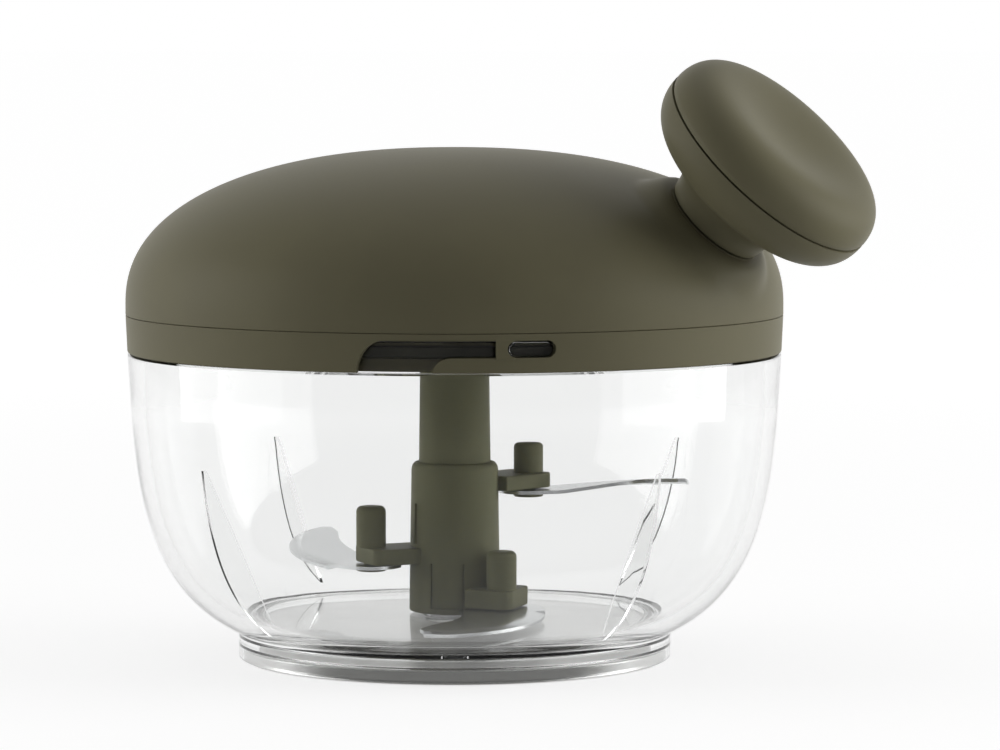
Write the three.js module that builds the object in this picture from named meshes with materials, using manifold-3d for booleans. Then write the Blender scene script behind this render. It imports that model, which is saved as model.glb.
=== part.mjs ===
// Pull-cord food chopper: a clear bowl, a domed lid with a pull knob, and a
// three-blade rotor that a cord reel inside the lid spins.
// Millimetres, +Z up, origin at the bottom centre of the bowl's foot.
// The knob points along +X.

import * as THREE from 'three';
import { mergeVertices } from 'three/addons/utils/BufferGeometryUtils.js';
import Module from 'manifold-3d';

const wasm = await Module();
wasm.setup();

// Clearances
const gap = 0.3; // between pieces that touch, and round pieces that turn
const overrun = 1; // how far a cutting solid passes the faces it cuts
const mergeDistance = 0.0001;

// Bowl: one clear moulding with a foot ring, a stepped neck, ribs and lugs
const bodyRadius = 65;
const shoulderStep = 0.3;
const shoulderHeight = 61.1;
const bowlWall = 2.8;
const bellyRadiusShares = [0.9766, 0.9788];
const bellyHeightShares = [0.6294, 0.2454];
const footRadius = 42.9;
const footWall = 4;
const footBlend = 5.8; // height at which the belly runs into the foot
const ribFootReach = 1.1; // from the foot's outside out to the foot of a rib
const ribFootRise = 1.7; // from the floor up to the foot of a rib
const floorUnderside = 4.9;
const floorThickness = 2.6;
const floorReach = 1; // from the foot's inside out to the floor's edge
const neckHeight = 5.9;
const neckWall = 1.5;
const ribCount = 4;
const ribFirstDegrees = 68;
const ribThickness = 1.8;
const ribTopHeight = 45;
const ribTopDepth = 0.6; // how far the rib stands out of the wall at its top
const lugCount = 3;
const lugCentreDegrees = -48.15;
const lugDegrees = 7.5;
const lugHeight = 2.55;
const lugDrop = 0.1; // from the rim down to the lug's top
const lugReach = 1.6; // how far a lug stands out of the neck

// Non-slip pad set into the foot
const padMargin = 1; // from the foot's outside to the pad's edge
const padThickness = 2.7;
const padProud = 0.5;

// Steel pivot pin moulded into the middle of the floor
const pivotRadius = 2.5;
const pivotReach = 12;
const pivotRoot = 4.6;
const pivotTipBevel = 0.8;
const pivotBossRadius = 6;
const pivotBossDrop = 3.3;

// Lid base: skirt with the bayonet tracks, plug, floor plate, collar and posts
const skirtWall = 2;
const ringHeight = 7.15;
const ringTaper = 0.34;
const rimGap = 0.4;
const webThickness = 2;
const plugPlay = 0.6;
const plugWall = 3;
const plugBevel = 0.6;
const plateThickness = 2.2;
const domeSpigotHeight = 2.4;
const domeSpigotWall = 1.6;
const collarWall = 3;
const collarHeight = 4;
const trackFloorDrop = 0.3; // under the lug
const mouthStartDegrees = -77.5;
const mouthEndDegrees = -64.7;
const trackStartDegrees = -72.5;
const trackArchDegrees = -61.5;
const detentDegrees = -53.6;
const detentWidthDegrees = 1.3;
const detentThickness = 0.35;
const endPlayDegrees = 0.3;
const seamDegrees = 0.05; // between the mouth's upright side and the arch

// Silicone seal round the plug
const sealThickness = 1.2;
const sealHeight = 2;

// Dome cover
const domeWall = 2.2;
const domeStraight = 1.84;
const domeRise = 30.7;
const domeExponentShare = 2.26;
const domeEdgeBevel = 0.35;
const domeBossRadius = 3.6;
const domeBossMargin = 6; // from the plug's inside to the boss
const domeScrewFirstDegrees = 90;

// Knob and its seat on the dome
const seatShare = 0.8746; // of the body radius, where the knob's axis leaves the dome
const knobTiltDegrees = 45;
const seatPadRadius = 10.5;
const seatFairing = 2.6; // how far the seat's side slopes out to the dome
const seatPadProud = 0.4;
const seatBossRadius = 6;
const seatBossLength = 7.2;
const knobRadius = 23.9;
const knobFootRadius = 10.3;
const knobWaistRadius = 11;
const knobNeckLength = 6.45;
const knobBackDepth = 9.6;
const knobBackExponentShare = 2.33;
const knobFrontDepth = 7.5;
const knobFrontExponentShare = 2.27;
const knobFaceRadius = 16;
const knobDish = 1.9;
const knobWall = 2.2;
const knobPlugDepth = 2;
const knobThroatRadius = 11.7; // where the neck runs into the back of the knob
const knobThroatRise = 0.6;
const knotRadius = 2.5;

// Pull cord and its eyelet
const cordRadius = 0.9;
const cordPlay = 0.6;
const eyeletWall = 1.6;
const eyeletFlangeRadius = 5;
const eyeletFlangeThickness = 1;

// Drive tube with its hexagonal spigot, and the bush it turns in
const tubeTopRadius = 6.85;
const tubeFootRadius = 7.1;
const tubeSeatDepth = 2.6;
const spigotRadius = 5;
const spigotLength = 12;
const tubeFlangeRadius = 12.5;
const tubeFlangeThickness = 1.6;
const clutchHexRadius = 5.6;
const bushWall = 1.7;
const bushFlangeRadius = 11.5;
const bushFlangeThickness = 1;

// Clutch under the reel
const clutchSpringHeight = 3.4;
const clutchSpringTurns = 2;
const clutchWireRadius = 0.4;
const dogRadius = 12;
const dogThickness = 2;
const toothHeight = 1.4;
const toothWidth = 3.4;
const toothCount = 6;
const toothPlayDegrees = 2.5;

// Cord reel with the return spring inside it
const reelFlangeRadius = 23;
const reelFlangeThickness = 1.2;
const reelDrumRadius = 18.6;
const reelDrumWall = 2.2;
const cordTurnsOnReel = 4;
const springStrip = 0.4;
const springTurns = 4;
const axleRadius = 2;
const axleHeadRadius = 3.5;
const axleHeadThickness = 1.2;

// Spring cover on three posts
const coverThickness = 2;
const coverRimMargin = 4;
const arborRadius = 5;
const postPlace = 30;
const postRadius = 3.4;
const postFirstDegrees = 30;

// Screws of one size
const screwRadius = 1.5;
const screwHeadRadius = 2.7;
const screwHeadThickness = 1;
const screwLength = 8;
const screwCount = 3;

// Rotor: hub with three arms, blades under the arms and the pins that hold them
const hubFloorGap = 0.6;
const hubHeight = 31.2;
const hubTopRadius = 8.57;
const hubFootRadius = 9.1;
const hubTopRounding = 1.7;
const pivotBushWall = 2.2;
const pivotBushLength = 11.5;
const armOuterSide = 8.9;
const armInnerSide = 2.4;
const pinSide = 4.9;
const pinRadius = 2.95;
const pinShankRadius = 1.5;
const pinTopBevel = 0.9;
const bladeThickness = 0.7;

// Sizes of the three stations, from the lowest up
const stationNames = ['low', 'mid', 'high'];
const armDegrees = [7, 234, 75];
const armTops = [6.2, 14.3, 28.25];
const armThicknesses = [4.2, 3.3, 3];
const armReaches = [15.2, 18.2, 19.4];
const pinPlaces = [11.9, 16, 16.2];
const pinHeights = [7.9, 8.2, 6.4];
const pinHeadHeights = [0.45, 0.45, 0.6];
const bladeSweepDegrees = [78, 75, 58];
const bladeTipReaches = [-7, -1, 2.5]; // from the ribs' foot out to the tip
const bladeRootWidths = [17, 12, 13];
const bladeSwells = [2, 2, 0]; // how much wider a blade is in the middle
const bladeTipWidths = [6, 7, 5];
const bladeBulges = [12, 12, 20]; // how far a blade bows out of the straight line
const bladeLifts = [0.1, 3.8, 3.6]; // how much higher the tip is than the root

// How finely round pieces are divided
const bodySegments = 36;
const knobSegments = 24;
const shaftSegments = 20;
const smallSegments = 10;
const curveSteps = 7;

// Places worked out from the sizes above
const neckRadius = bodyRadius - skirtWall - gap;
const neckInner = neckRadius - neckWall;
const rimHeight = shoulderHeight + neckHeight;
const floorTop = floorUnderside + floorThickness;
const ribFootRadius = footRadius + ribFootReach;
const ribFootHeight = floorTop + ribFootRise;
const floorRadius = footRadius - footWall + floorReach;
const padRadius = footRadius - padMargin;
const lugTop = rimHeight - lugDrop;
const lugBottom = lugTop - lugHeight;
const ringBottom = shoulderHeight + gap;
const seamHeight = ringBottom + ringHeight;
const webUnderside = rimHeight + rimGap;
const webTop = webUnderside + webThickness;
const plugRadius = neckInner - plugPlay;
const plugInner = plugRadius - plugWall;
const domeScrewPlace = plugInner - domeBossMargin - domeBossRadius;
const plateBottom = ringBottom + rimGap;
const plateTop = plateBottom + plateThickness;
const domeBottom = seamHeight + gap;
const domeCentre = domeBottom + domeStraight;
const domeInnerRadius = bodyRadius - domeWall;
const tubeBore = axleRadius + gap;
const bushInner = tubeTopRadius + gap;
const bushOuter = bushInner + bushWall;
const collarInner = bushOuter + gap;
const collarTop = plateTop + collarHeight;
const bushFlangeBottom = collarTop + gap;
const tubeFlangeBottom = bushFlangeBottom + bushFlangeThickness + gap;
const tubeFlangeTop = tubeFlangeBottom + tubeFlangeThickness;
const clutchSpringBottom = tubeFlangeTop + gap;
const dogBottom = clutchSpringBottom + clutchSpringHeight + gap;
const dogTop = dogBottom + dogThickness;
const reelBottom = dogTop + toothHeight + gap;
const winding = cordTurnsOnReel * cordRadius * 2;
const grooveBottom = reelBottom + reelFlangeThickness;
const grooveTop = grooveBottom + winding + gap * 2;
const reelTop = grooveTop + reelFlangeThickness;
const cupFloor = grooveBottom + reelFlangeThickness;
const cupRadius = reelDrumRadius - reelDrumWall;
const springBottom = cupFloor + gap;
const coverBottom = reelTop + rimGap;
const coverTop = coverBottom + coverThickness;
const hubBottom = floorTop + hubFloorGap;
const hubTop = hubBottom + hubHeight;
const spigotTop = hubTop - tubeSeatDepth + gap;
const spigotBottom = spigotTop - spigotLength;
const socketBottom = spigotBottom - gap;
const cordLine = reelDrumRadius + gap + cordRadius;
const stations = stationNames.map((name, i) => ({
  name,
  turnDegrees: armDegrees[i],
  top: armTops[i],
  thickness: armThicknesses[i],
  reach: armReaches[i],
  pinOut: pinPlaces[i],
  pinHeight: pinHeights[i],
  head: pinHeadHeights[i],
  sweepDegrees: bladeSweepDegrees[i],
  tipRadius: ribFootRadius + bladeTipReaches[i],
  rootWidth: bladeRootWidths[i],
  swell: bladeSwells[i],
  tipWidth: bladeTipWidths[i],
  bulge: bladeBulges[i],
  lift: bladeLifts[i],
}));

const radians = THREE.MathUtils.degToRad;

// Shapes

function solid(geometry) {
  const bare = new THREE.BufferGeometry();
  bare.setAttribute('position', geometry.getAttribute('position').clone());
  if (geometry.index) {
    bare.setIndex(geometry.index.clone());
  }
  const merged = mergeVertices(bare, mergeDistance);
  const points = merged.getAttribute('position').array;
  const corners = merged.index.array;
  const kept = [];
  let volume = 0;
  const a = new THREE.Vector3();
  const b = new THREE.Vector3();
  const c = new THREE.Vector3();
  for (let i = 0; i < corners.length; i += 3) {
    const [p, q, r] = [corners[i], corners[i + 1], corners[i + 2]];
    if (p === q || q === r || r === p) {
      continue;
    }
    kept.push(p, q, r);
    a.fromArray(points, p * 3);
    b.fromArray(points, q * 3);
    c.fromArray(points, r * 3);
    volume += a.dot(b.cross(c));
  }
  if (volume < 0) {
    for (let i = 0; i < kept.length; i += 3) {
      [kept[i], kept[i + 1]] = [kept[i + 1], kept[i]];
    }
  }
  return new wasm.Manifold(
    new wasm.Mesh({
      numProp: 3,
      vertProperties: new Float32Array(points),
      triVerts: new Uint32Array(kept),
    }),
  );
}

function shapeOf(manifold) {
  const mesh = manifold.getMesh();
  const geometry = new THREE.BufferGeometry();
  geometry.setAttribute('position', new THREE.BufferAttribute(mesh.vertProperties, 3));
  geometry.setIndex(new THREE.BufferAttribute(mesh.triVerts, 1));
  geometry.computeVertexNormals();
  return geometry;
}

function join(first, ...others) {
  return others.reduce((whole, other) => whole.add(other), first);
}

function cut(first, ...tools) {
  return tools.reduce((whole, tool) => whole.subtract(tool), first);
}

// A profile of [radius, height] points turned about the Z axis
function turned(profile, segments) {
  const points = profile.map(([radius, height]) => new THREE.Vector2(radius, height));
  const onAxis = profile[0][0] === 0 && profile[profile.length - 1][0] === 0;
  if (!onAxis) {
    points.push(points[0].clone());
  }
  const geometry = new THREE.LatheGeometry(points, segments);
  geometry.rotateX(Math.PI / 2);
  return geometry;
}

function rod(radius, bottom, top, segments = smallSegments) {
  return turned([[0, bottom], [radius, bottom], [radius, top], [0, top]], segments);
}

function slab(outline, bottom, top) {
  const shape = new THREE.Shape(outline.map(([x, y]) => new THREE.Vector2(x, y)));
  const geometry = new THREE.ExtrudeGeometry(shape, { depth: top - bottom, bevelEnabled: false });
  geometry.translate(0, 0, bottom);
  return geometry;
}

// A solid through sections with equally many points, from the first section to the last
function lofted(sections) {
  const count = sections[0].length;
  const indices = [];
  for (let i = 0; i + 1 < sections.length; i += 1) {
    for (let k = 0; k < count; k += 1) {
      const [a, b] = [i * count + k, i * count + ((k + 1) % count)];
      indices.push(a, b, b + count, a, b + count, a + count);
    }
  }
  const last = (sections.length - 1) * count;
  for (let k = 1; k + 1 < count; k += 1) {
    indices.push(0, k + 1, k);
    indices.push(last, last + k, last + k + 1);
  }
  const geometry = new THREE.BufferGeometry().setFromPoints(sections.flat());
  geometry.setIndex(indices);
  return geometry;
}

// A band round the Z axis through columns of [degrees, bottom, top], between two radii
function band(columns, inner, outer) {
  return lofted(
    columns.map(([angle, bottom, top]) => {
      const [x, y] = [Math.cos(radians(angle)), Math.sin(radians(angle))];
      return [
        new THREE.Vector3(inner * x, inner * y, bottom),
        new THREE.Vector3(outer * x, outer * y, bottom),
        new THREE.Vector3(outer * x, outer * y, top),
        new THREE.Vector3(inner * x, inner * y, top),
      ];
    }),
  );
}

// Columns of one bottom and top, close enough together to follow a circle
function level(startDegrees, endDegrees, bottom, top) {
  const longestStepDegrees = 5;
  const steps = Math.ceil((endDegrees - startDegrees) / longestStepDegrees);
  const columns = [];
  for (let i = 0; i <= steps; i += 1) {
    columns.push([startDegrees + ((endDegrees - startDegrees) * i) / steps, bottom, top]);
  }
  return columns;
}

function tube(curve, radius, sides, steps) {
  const outline = [];
  for (let i = 0; i < sides; i += 1) {
    const angle = (2 * Math.PI * i) / sides;
    outline.push(new THREE.Vector2(radius * Math.cos(angle), radius * Math.sin(angle)));
  }
  const shape = new THREE.Shape(outline);
  return new THREE.ExtrudeGeometry(shape, { steps, bevelEnabled: false, extrudePath: curve });
}

function around(geometry, degrees) {
  return geometry.clone().rotateZ(radians(degrees));
}

// A quarter of a rounded curve from (centre + reach, base) to (centre, base + rise)
function quarter(centre, reach, base, rise, exponent, steps) {
  const points = [];
  for (let i = 0; i <= steps; i += 1) {
    const angle = (Math.PI / 2) * (i / steps);
    const out = i === steps ? 0 : Math.cos(angle) ** (2 / exponent);
    points.push([centre + reach * out, base + rise * Math.sin(angle) ** (2 / exponent)]);
  }
  return points;
}

function domeHeightAt(radius) {
  const share = (1 - (radius / bodyRadius) ** domeExponentShare) ** (1 / domeExponentShare);
  return domeCentre + domeRise * share;
}

// The knob's axis: local Z runs out of the dome from the seat's flat top
const seatRadius = bodyRadius * seatShare;
const knobDirection = new THREE.Vector3(
  Math.cos(radians(knobTiltDegrees)),
  0,
  Math.sin(radians(knobTiltDegrees)),
);
const seatPoint = new THREE.Vector3(seatRadius, 0, domeHeightAt(seatRadius));
seatPoint.addScaledVector(knobDirection, seatPadProud);

function onKnobAxis(geometry) {
  const tilted = geometry.clone();
  tilted.rotateY(radians(90 - knobTiltDegrees));
  tilted.translate(seatPoint.x, seatPoint.y, seatPoint.z);
  return tilted;
}

function knobAxisPoint(distance) {
  return seatPoint.clone().addScaledVector(knobDirection, distance);
}

const eyeletInner = cordRadius + cordPlay;
const eyeletOuter = eyeletInner + eyeletWall;
const eyeletMouth = -(seatBossLength + gap + eyeletFlangeThickness);
const knobSeam = gap + knobNeckLength + knobBackDepth;
const knobFloor = gap + knobNeckLength + knobWall;

// Materials
function finish(color, roughness, metalness = 0, opacity = 1) {
  return new THREE.MeshStandardMaterial({
    color,
    roughness,
    metalness,
    opacity,
    transparent: opacity < 1,
  });
}
const olive = 0x70705a;
const darkOlive = 0x5a5a48;
const clear = 0xf0f2f2;
const steel = 0xc8cacc;
const grey = 0x9a9c98;

const group = new THREE.Group();

function add(name, shape, material) {
  const geometry = shape instanceof THREE.BufferGeometry ? shapeOf(solid(shape)) : shapeOf(shape);
  const mesh = new THREE.Mesh(geometry, material);
  mesh.name = name;
  group.add(mesh);
}

// Bowl
function bellyCurve(wall) {
  const shoulderRadius = bodyRadius - shoulderStep;
  const curve = new THREE.CubicBezierCurve(
    new THREE.Vector2(shoulderRadius, shoulderHeight),
    new THREE.Vector2(shoulderRadius * bellyRadiusShares[0], shoulderHeight * bellyHeightShares[0]),
    new THREE.Vector2(shoulderRadius * bellyRadiusShares[1], shoulderHeight * bellyHeightShares[1]),
    new THREE.Vector2(footRadius, footBlend),
  );
  const points = [];
  for (let i = 0; i <= curveSteps; i += 1) {
    const at = curve.getPoint(i / curveSteps);
    const along = curve.getTangent(i / curveSteps);
    points.push([at.x + along.y * wall, at.y - along.x * wall]);
  }
  return points;
}

function ribOutline() {
  const inWall = bellyCurve(bowlWall / 2).filter(([, z]) => z > ribFootHeight && z < ribTopHeight);
  const bury = bowlWall / 2;
  const wallAtTop = bellyCurve(bowlWall).find(([, z]) => z < ribTopHeight)[0];
  return [
    [ribFootRadius, ribFootHeight - bury],
    [ribFootRadius, ribFootHeight],
    [wallAtTop - ribTopDepth, ribTopHeight],
    [wallAtTop + bury, ribTopHeight],
    ...inWall,
    [ribFootRadius + bury, ribFootHeight - bury],
  ];
}

function makeBowl() {
  const outer = bellyCurve(0);
  const inner = bellyCurve(bowlWall)
    .map(([radius, height]) => [Math.min(radius, neckInner), height])
    .filter(([, height]) => height > floorTop && height < shoulderHeight - neckHeight);
  const padSeat = padThickness + gap;
  const pivotHole = pivotRadius + gap;
  const profile = [
    [neckInner, rimHeight],
    [neckRadius, rimHeight],
    [neckRadius, shoulderHeight],
    ...outer,
    [footRadius, padProud],
    [padRadius + gap, padProud],
    [padRadius + gap, padSeat],
    [footRadius - footWall, padSeat],
    [footRadius - footWall, floorUnderside],
    [pivotBossRadius, floorUnderside],
    [pivotBossRadius, pivotBossDrop],
    [0, pivotBossDrop],
    [0, pivotRoot],
    [pivotHole, pivotRoot],
    [pivotHole, floorTop],
    [floorRadius, floorTop],
    ...inner.reverse(),
    [neckInner, shoulderHeight - neckHeight],
  ];
  // The profile starts at the rim, so it is turned about the axis from its two points there
  const start = profile.findIndex(([radius]) => radius === 0) + 1;
  const ordered = [...profile.slice(start), ...profile.slice(0, start)];
  let bowl = solid(turned(ordered, bodySegments));
  for (let i = 0; i < ribCount; i += 1) {
    const rib = slab(ribOutline(), -ribThickness / 2, ribThickness / 2);
    rib.rotateX(Math.PI / 2);
    bowl = join(bowl, solid(around(rib, ribFirstDegrees + (360 / ribCount) * i)));
  }
  for (let i = 0; i < lugCount; i += 1) {
    const turn = lugCentreDegrees + (360 / lugCount) * i;
    const lug = band(lugColumns(), neckRadius - neckWall / 2, neckRadius + lugReach);
    bowl = join(bowl, solid(around(lug, turn)));
  }
  return bowl;
}

// A lug with round ends
function lugColumns() {
  const half = lugHeight / 2;
  const middle = lugBottom + half;
  const endDegrees = THREE.MathUtils.radToDeg(half / neckRadius);
  const steps = 4;
  const columns = [];
  for (let i = 0; i <= steps; i += 1) {
    const angle = (Math.PI / 2) * (i / steps);
    const across = lugDegrees / 2 - endDegrees * (1 - Math.sin(angle));
    const rise = half * Math.cos(angle);
    columns.unshift([-across, middle - rise, middle + rise]);
    columns.push([across, middle - rise, middle + rise]);
  }
  return columns;
}

add('bowl', makeBowl(), finish(clear, 0.05, 0, 0.3));

add('non_slip_pad', rod(padRadius, 0, padThickness, bodySegments), finish(clear, 0.6, 0, 0.6));

const pivotTop = floorTop + pivotReach;
add(
  'pivot_pin',
  turned(
    [
      [0, pivotRoot + gap],
      [pivotRadius, pivotRoot + gap],
      [pivotRadius, pivotTop - pivotTipBevel],
      [pivotRadius - pivotTipBevel, pivotTop],
      [0, pivotTop],
    ],
    smallSegments,
  ),
  finish(steel, 0.25, 1),
);

// Lid base
const sealGrooveBottom = plateTop - gap;
const sealBottom = sealGrooveBottom + gap;
const sealGrooveTop = sealBottom + sealHeight + gap;
const skirtInner = neckRadius + gap;

// One bayonet track: a mouth at the ring's lower edge and a level run to the lug's stop
function trackColumns() {
  const top = lugTop + rimGap;
  const bottom = lugBottom - trackFloorDrop;
  const below = ringBottom - overrun;
  const end = lugCentreDegrees + lugDegrees / 2 + endPlayDegrees;
  const steps = 4;
  const columns = [];
  for (let i = 0; i <= steps; i += 1) {
    const angle = (Math.PI / 2) * (i / steps);
    const across = (trackStartDegrees - mouthStartDegrees) * (1 - Math.cos(angle));
    const rise = (top - ringBottom) * Math.sin(angle);
    columns.push([mouthStartDegrees + across, below, ringBottom + rise]);
  }
  columns.push(...level(trackStartDegrees, mouthEndDegrees, below, top).slice(1));
  for (let i = 0; i <= steps; i += 1) {
    const angle = (Math.PI / 2) * (i / steps);
    const across = (trackArchDegrees - mouthEndDegrees) * (1 - Math.cos(angle));
    const rise = (bottom - ringBottom) * Math.sin(angle);
    columns.push([mouthEndDegrees + seamDegrees + across, ringBottom + rise, top]);
  }
  columns.push(...level(trackArchDegrees + seamDegrees, end, bottom, top).slice(1));
  return columns;
}

function makeLidBase() {
  const profile = [
    [collarInner, plateBottom],
    [plugRadius - plugBevel, plateBottom],
    [plugRadius, plateBottom + plugBevel],
    [plugRadius, sealGrooveBottom],
    [plugRadius - sealThickness, sealGrooveBottom],
    [plugRadius - sealThickness, sealGrooveTop],
    [plugRadius, sealGrooveTop],
    [plugRadius, webUnderside],
    [skirtInner, webUnderside],
    [skirtInner, ringBottom],
    [bodyRadius - ringTaper, ringBottom],
    [bodyRadius, seamHeight],
    [domeInnerRadius - gap, seamHeight],
    [domeInnerRadius - gap, seamHeight + domeSpigotHeight],
    [domeInnerRadius - gap - domeSpigotWall, seamHeight + domeSpigotHeight],
    [domeInnerRadius - gap - domeSpigotWall, webTop],
    [plugInner, webTop],
    [plugInner, plateTop],
    [collarInner + collarWall, plateTop],
    [collarInner + collarWall, collarTop],
    [collarInner, collarTop],
  ];
  let base = solid(turned(profile, bodySegments));
  for (let i = 0; i < lugCount; i += 1) {
    const turn = (360 / lugCount) * i;
    const track = band(trackColumns(), neckInner, bodyRadius + overrun);
    base = cut(base, solid(around(track, turn)));
    const half = detentWidthDegrees / 2;
    const bottom = lugBottom - trackFloorDrop - gap;
    const top = lugTop + rimGap + gap;
    const bar = band(
      level(detentDegrees - half, detentDegrees + half, bottom, top),
      neckRadius + lugReach + gap,
      neckRadius + lugReach + gap + detentThickness,
    );
    base = join(base, solid(around(bar, turn)));
  }
  for (let i = 0; i < screwCount; i += 1) {
    const post = rod(postRadius, plateTop - gap, coverBottom - gap).translate(postPlace, 0, 0);
    const postHole = rod(screwRadius + gap, coverBottom - screwLength, coverBottom);
    postHole.translate(postPlace, 0, 0);
    base = join(base, solid(around(post, postTurn(i))));
    base = cut(base, solid(around(postHole, postTurn(i))));
    const shank = rod(screwRadius + gap, plateBottom - overrun, plateTop + overrun);
    const headRecess = rod(
      screwHeadRadius + gap,
      plateBottom - overrun,
      plateBottom + screwHeadThickness + gap,
    );
    shank.translate(domeScrewPlace, 0, 0);
    headRecess.translate(domeScrewPlace, 0, 0);
    base = cut(base, solid(around(shank, domeScrewTurn(i))));
    base = cut(base, solid(around(headRecess, domeScrewTurn(i))));
  }
  return base;
}

function postTurn(i) {
  return postFirstDegrees + (360 / screwCount) * i;
}

function domeScrewTurn(i) {
  return domeScrewFirstDegrees + (360 / screwCount) * i;
}

add('lid_base', makeLidBase(), finish(olive, 0.45));

add(
  'lid_seal',
  turned(
    [
      [plugRadius - sealThickness + gap, sealBottom],
      [neckInner - gap, sealBottom],
      [neckInner - gap, sealBottom + sealHeight],
      [plugRadius - sealThickness + gap, sealBottom + sealHeight],
    ],
    bodySegments,
  ),
  finish(grey, 0.8),
);

// Dome cover

// Everything under the dome's outer surface moved in by a depth
function domeSpace(depth) {
  const rise = domeRise - depth;
  const curve = quarter(0, bodyRadius - depth, domeCentre, rise, domeExponentShare, curveSteps);
  const floor = plateTop - overrun;
  const profile = [...curve.reverse(), [bodyRadius - depth, floor], [0, floor]];
  return solid(turned(profile, bodySegments));
}

function makeDome() {
  const outer = quarter(0, bodyRadius, domeCentre, domeRise, domeExponentShare, curveSteps + 2);
  const inner = quarter(
    0,
    domeInnerRadius,
    domeCentre,
    domeRise - domeWall,
    domeExponentShare,
    curveSteps,
  );
  const profile = [
    ...inner.reverse(),
    [domeInnerRadius, domeBottom],
    [bodyRadius - domeEdgeBevel, domeBottom],
    [bodyRadius, domeBottom + domeEdgeBevel],
    ...outer,
  ];
  let dome = solid(turned(profile, bodySegments));
  const padRoot = -seatPadProud - domeWall;
  const padProfile = [
    [0, padRoot],
    [seatPadRadius + seatFairing, padRoot],
    [seatPadRadius, 0],
    [0, 0],
  ];
  const pad = onKnobAxis(turned(padProfile, knobSegments));
  const boss = onKnobAxis(rod(seatBossRadius, -seatBossLength, 0, smallSegments));
  dome = join(dome, cut(solid(pad), domeSpace(domeWall)), solid(boss));
  const bore = onKnobAxis(rod(eyeletOuter + gap, -seatBossLength - overrun, overrun));
  dome = cut(dome, solid(bore));
  const midWall = domeSpace(domeWall / 2);
  for (let i = 0; i < screwCount; i += 1) {
    const screwBoss = rod(domeBossRadius, plateTop + gap, domeHeightAt(domeScrewPlace));
    const hole = rod(screwRadius + gap, plateTop, plateBottom + screwLength + screwHeadThickness);
    screwBoss.translate(domeScrewPlace, 0, 0);
    hole.translate(domeScrewPlace, 0, 0);
    dome = join(dome, solid(around(screwBoss, domeScrewTurn(i))).intersect(midWall));
    dome = cut(dome, solid(around(hole, domeScrewTurn(i))));
  }
  return dome;
}

add('dome_cover', makeDome(), finish(olive, 0.45));

for (let i = 0; i < screwCount; i += 1) {
  const headBottom = plateBottom;
  const headTop = headBottom + screwHeadThickness;
  const profile = [
    [0, headBottom],
    [screwHeadRadius, headBottom],
    [screwHeadRadius, headTop],
    [screwRadius, headTop],
    [screwRadius, headTop + screwLength - gap],
    [0, headTop + screwLength - gap],
  ];
  const screw = turned(profile, smallSegments).translate(domeScrewPlace, 0, 0);
  add(`dome_screw_${i + 1}`, around(screw, domeScrewTurn(i)), finish(steel, 0.35, 1));
}

// Eyelet that the cord runs through, clinched inside the seat's boss
add(
  'cord_eyelet',
  onKnobAxis(
    turned(
      [
        [eyeletInner, -gap],
        [eyeletOuter, -gap],
        [eyeletOuter, -seatBossLength - gap],
        [eyeletFlangeRadius, -seatBossLength - gap],
        [eyeletFlangeRadius, eyeletMouth],
        [eyeletInner + eyeletWall / 2, eyeletMouth],
        [eyeletInner, eyeletMouth + eyeletFlangeThickness],
      ],
      smallSegments,
    ),
  ),
  finish(steel, 0.2, 1),
);

// Bush in the collar
add(
  'bearing_bush',
  turned(
    [
      [bushInner, plateBottom],
      [bushOuter, plateBottom],
      [bushOuter, bushFlangeBottom],
      [bushFlangeRadius, bushFlangeBottom],
      [bushFlangeRadius, bushFlangeBottom + bushFlangeThickness],
      [bushInner, bushFlangeBottom + bushFlangeThickness],
    ],
    shaftSegments,
  ),
  finish(clear, 0.5),
);

// Drive tube
function makeDriveTube() {
  const boreBottom = plateBottom + plateThickness / 2;
  const hexTop = dogTop + toothHeight;
  const profile = [
    [0, spigotTop - gap],
    [tubeFootRadius, spigotTop - gap],
    [tubeFootRadius, hubTop],
    [tubeTopRadius, ringBottom],
    [tubeTopRadius, tubeFlangeBottom],
    [tubeFlangeRadius, tubeFlangeBottom],
    [tubeFlangeRadius, tubeFlangeTop],
    [0, tubeFlangeTop],
  ];
  const body = solid(turned(profile, shaftSegments));
  const spigot = solid(rod(spigotRadius, spigotBottom, spigotTop + overrun, 6));
  const hex = solid(rod(clutchHexRadius, tubeFlangeTop - gap, hexTop, 6));
  return cut(join(body, spigot, hex), solid(rod(tubeBore, boreBottom, hexTop + overrun)));
}

add('drive_tube', makeDriveTube(), finish(olive, 0.45));

// Clutch spring: two open turns of wire
function makeClutchSpring() {
  const radius = (clutchHexRadius + dogRadius) / 2;
  const rise = clutchSpringHeight - clutchWireRadius * 2;
  const points = [];
  const steps = clutchSpringTurns * smallSegments;
  for (let i = 0; i <= steps; i += 1) {
    const angle = (2 * Math.PI * clutchSpringTurns * i) / steps;
    points.push(
      new THREE.Vector3(
        radius * Math.cos(angle),
        radius * Math.sin(angle),
        clutchSpringBottom + clutchWireRadius + (rise * i) / steps,
      ),
    );
  }
  return tube(new THREE.CatmullRomCurve3(points), clutchWireRadius, 6, steps);
}

add('clutch_spring', makeClutchSpring(), finish(steel, 0.3, 1));

const toothPitch = 360 / toothCount;

function teeth(startDegrees, bottom, top) {
  const list = [];
  for (let i = 0; i < toothCount; i += 1) {
    const start = startDegrees + toothPitch * i + toothPlayDegrees;
    const end = startDegrees + toothPitch * (i + 0.5) - toothPlayDegrees;
    list.push(solid(band(level(start, end, bottom, top), dogRadius - toothWidth, dogRadius)));
  }
  return list;
}

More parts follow.
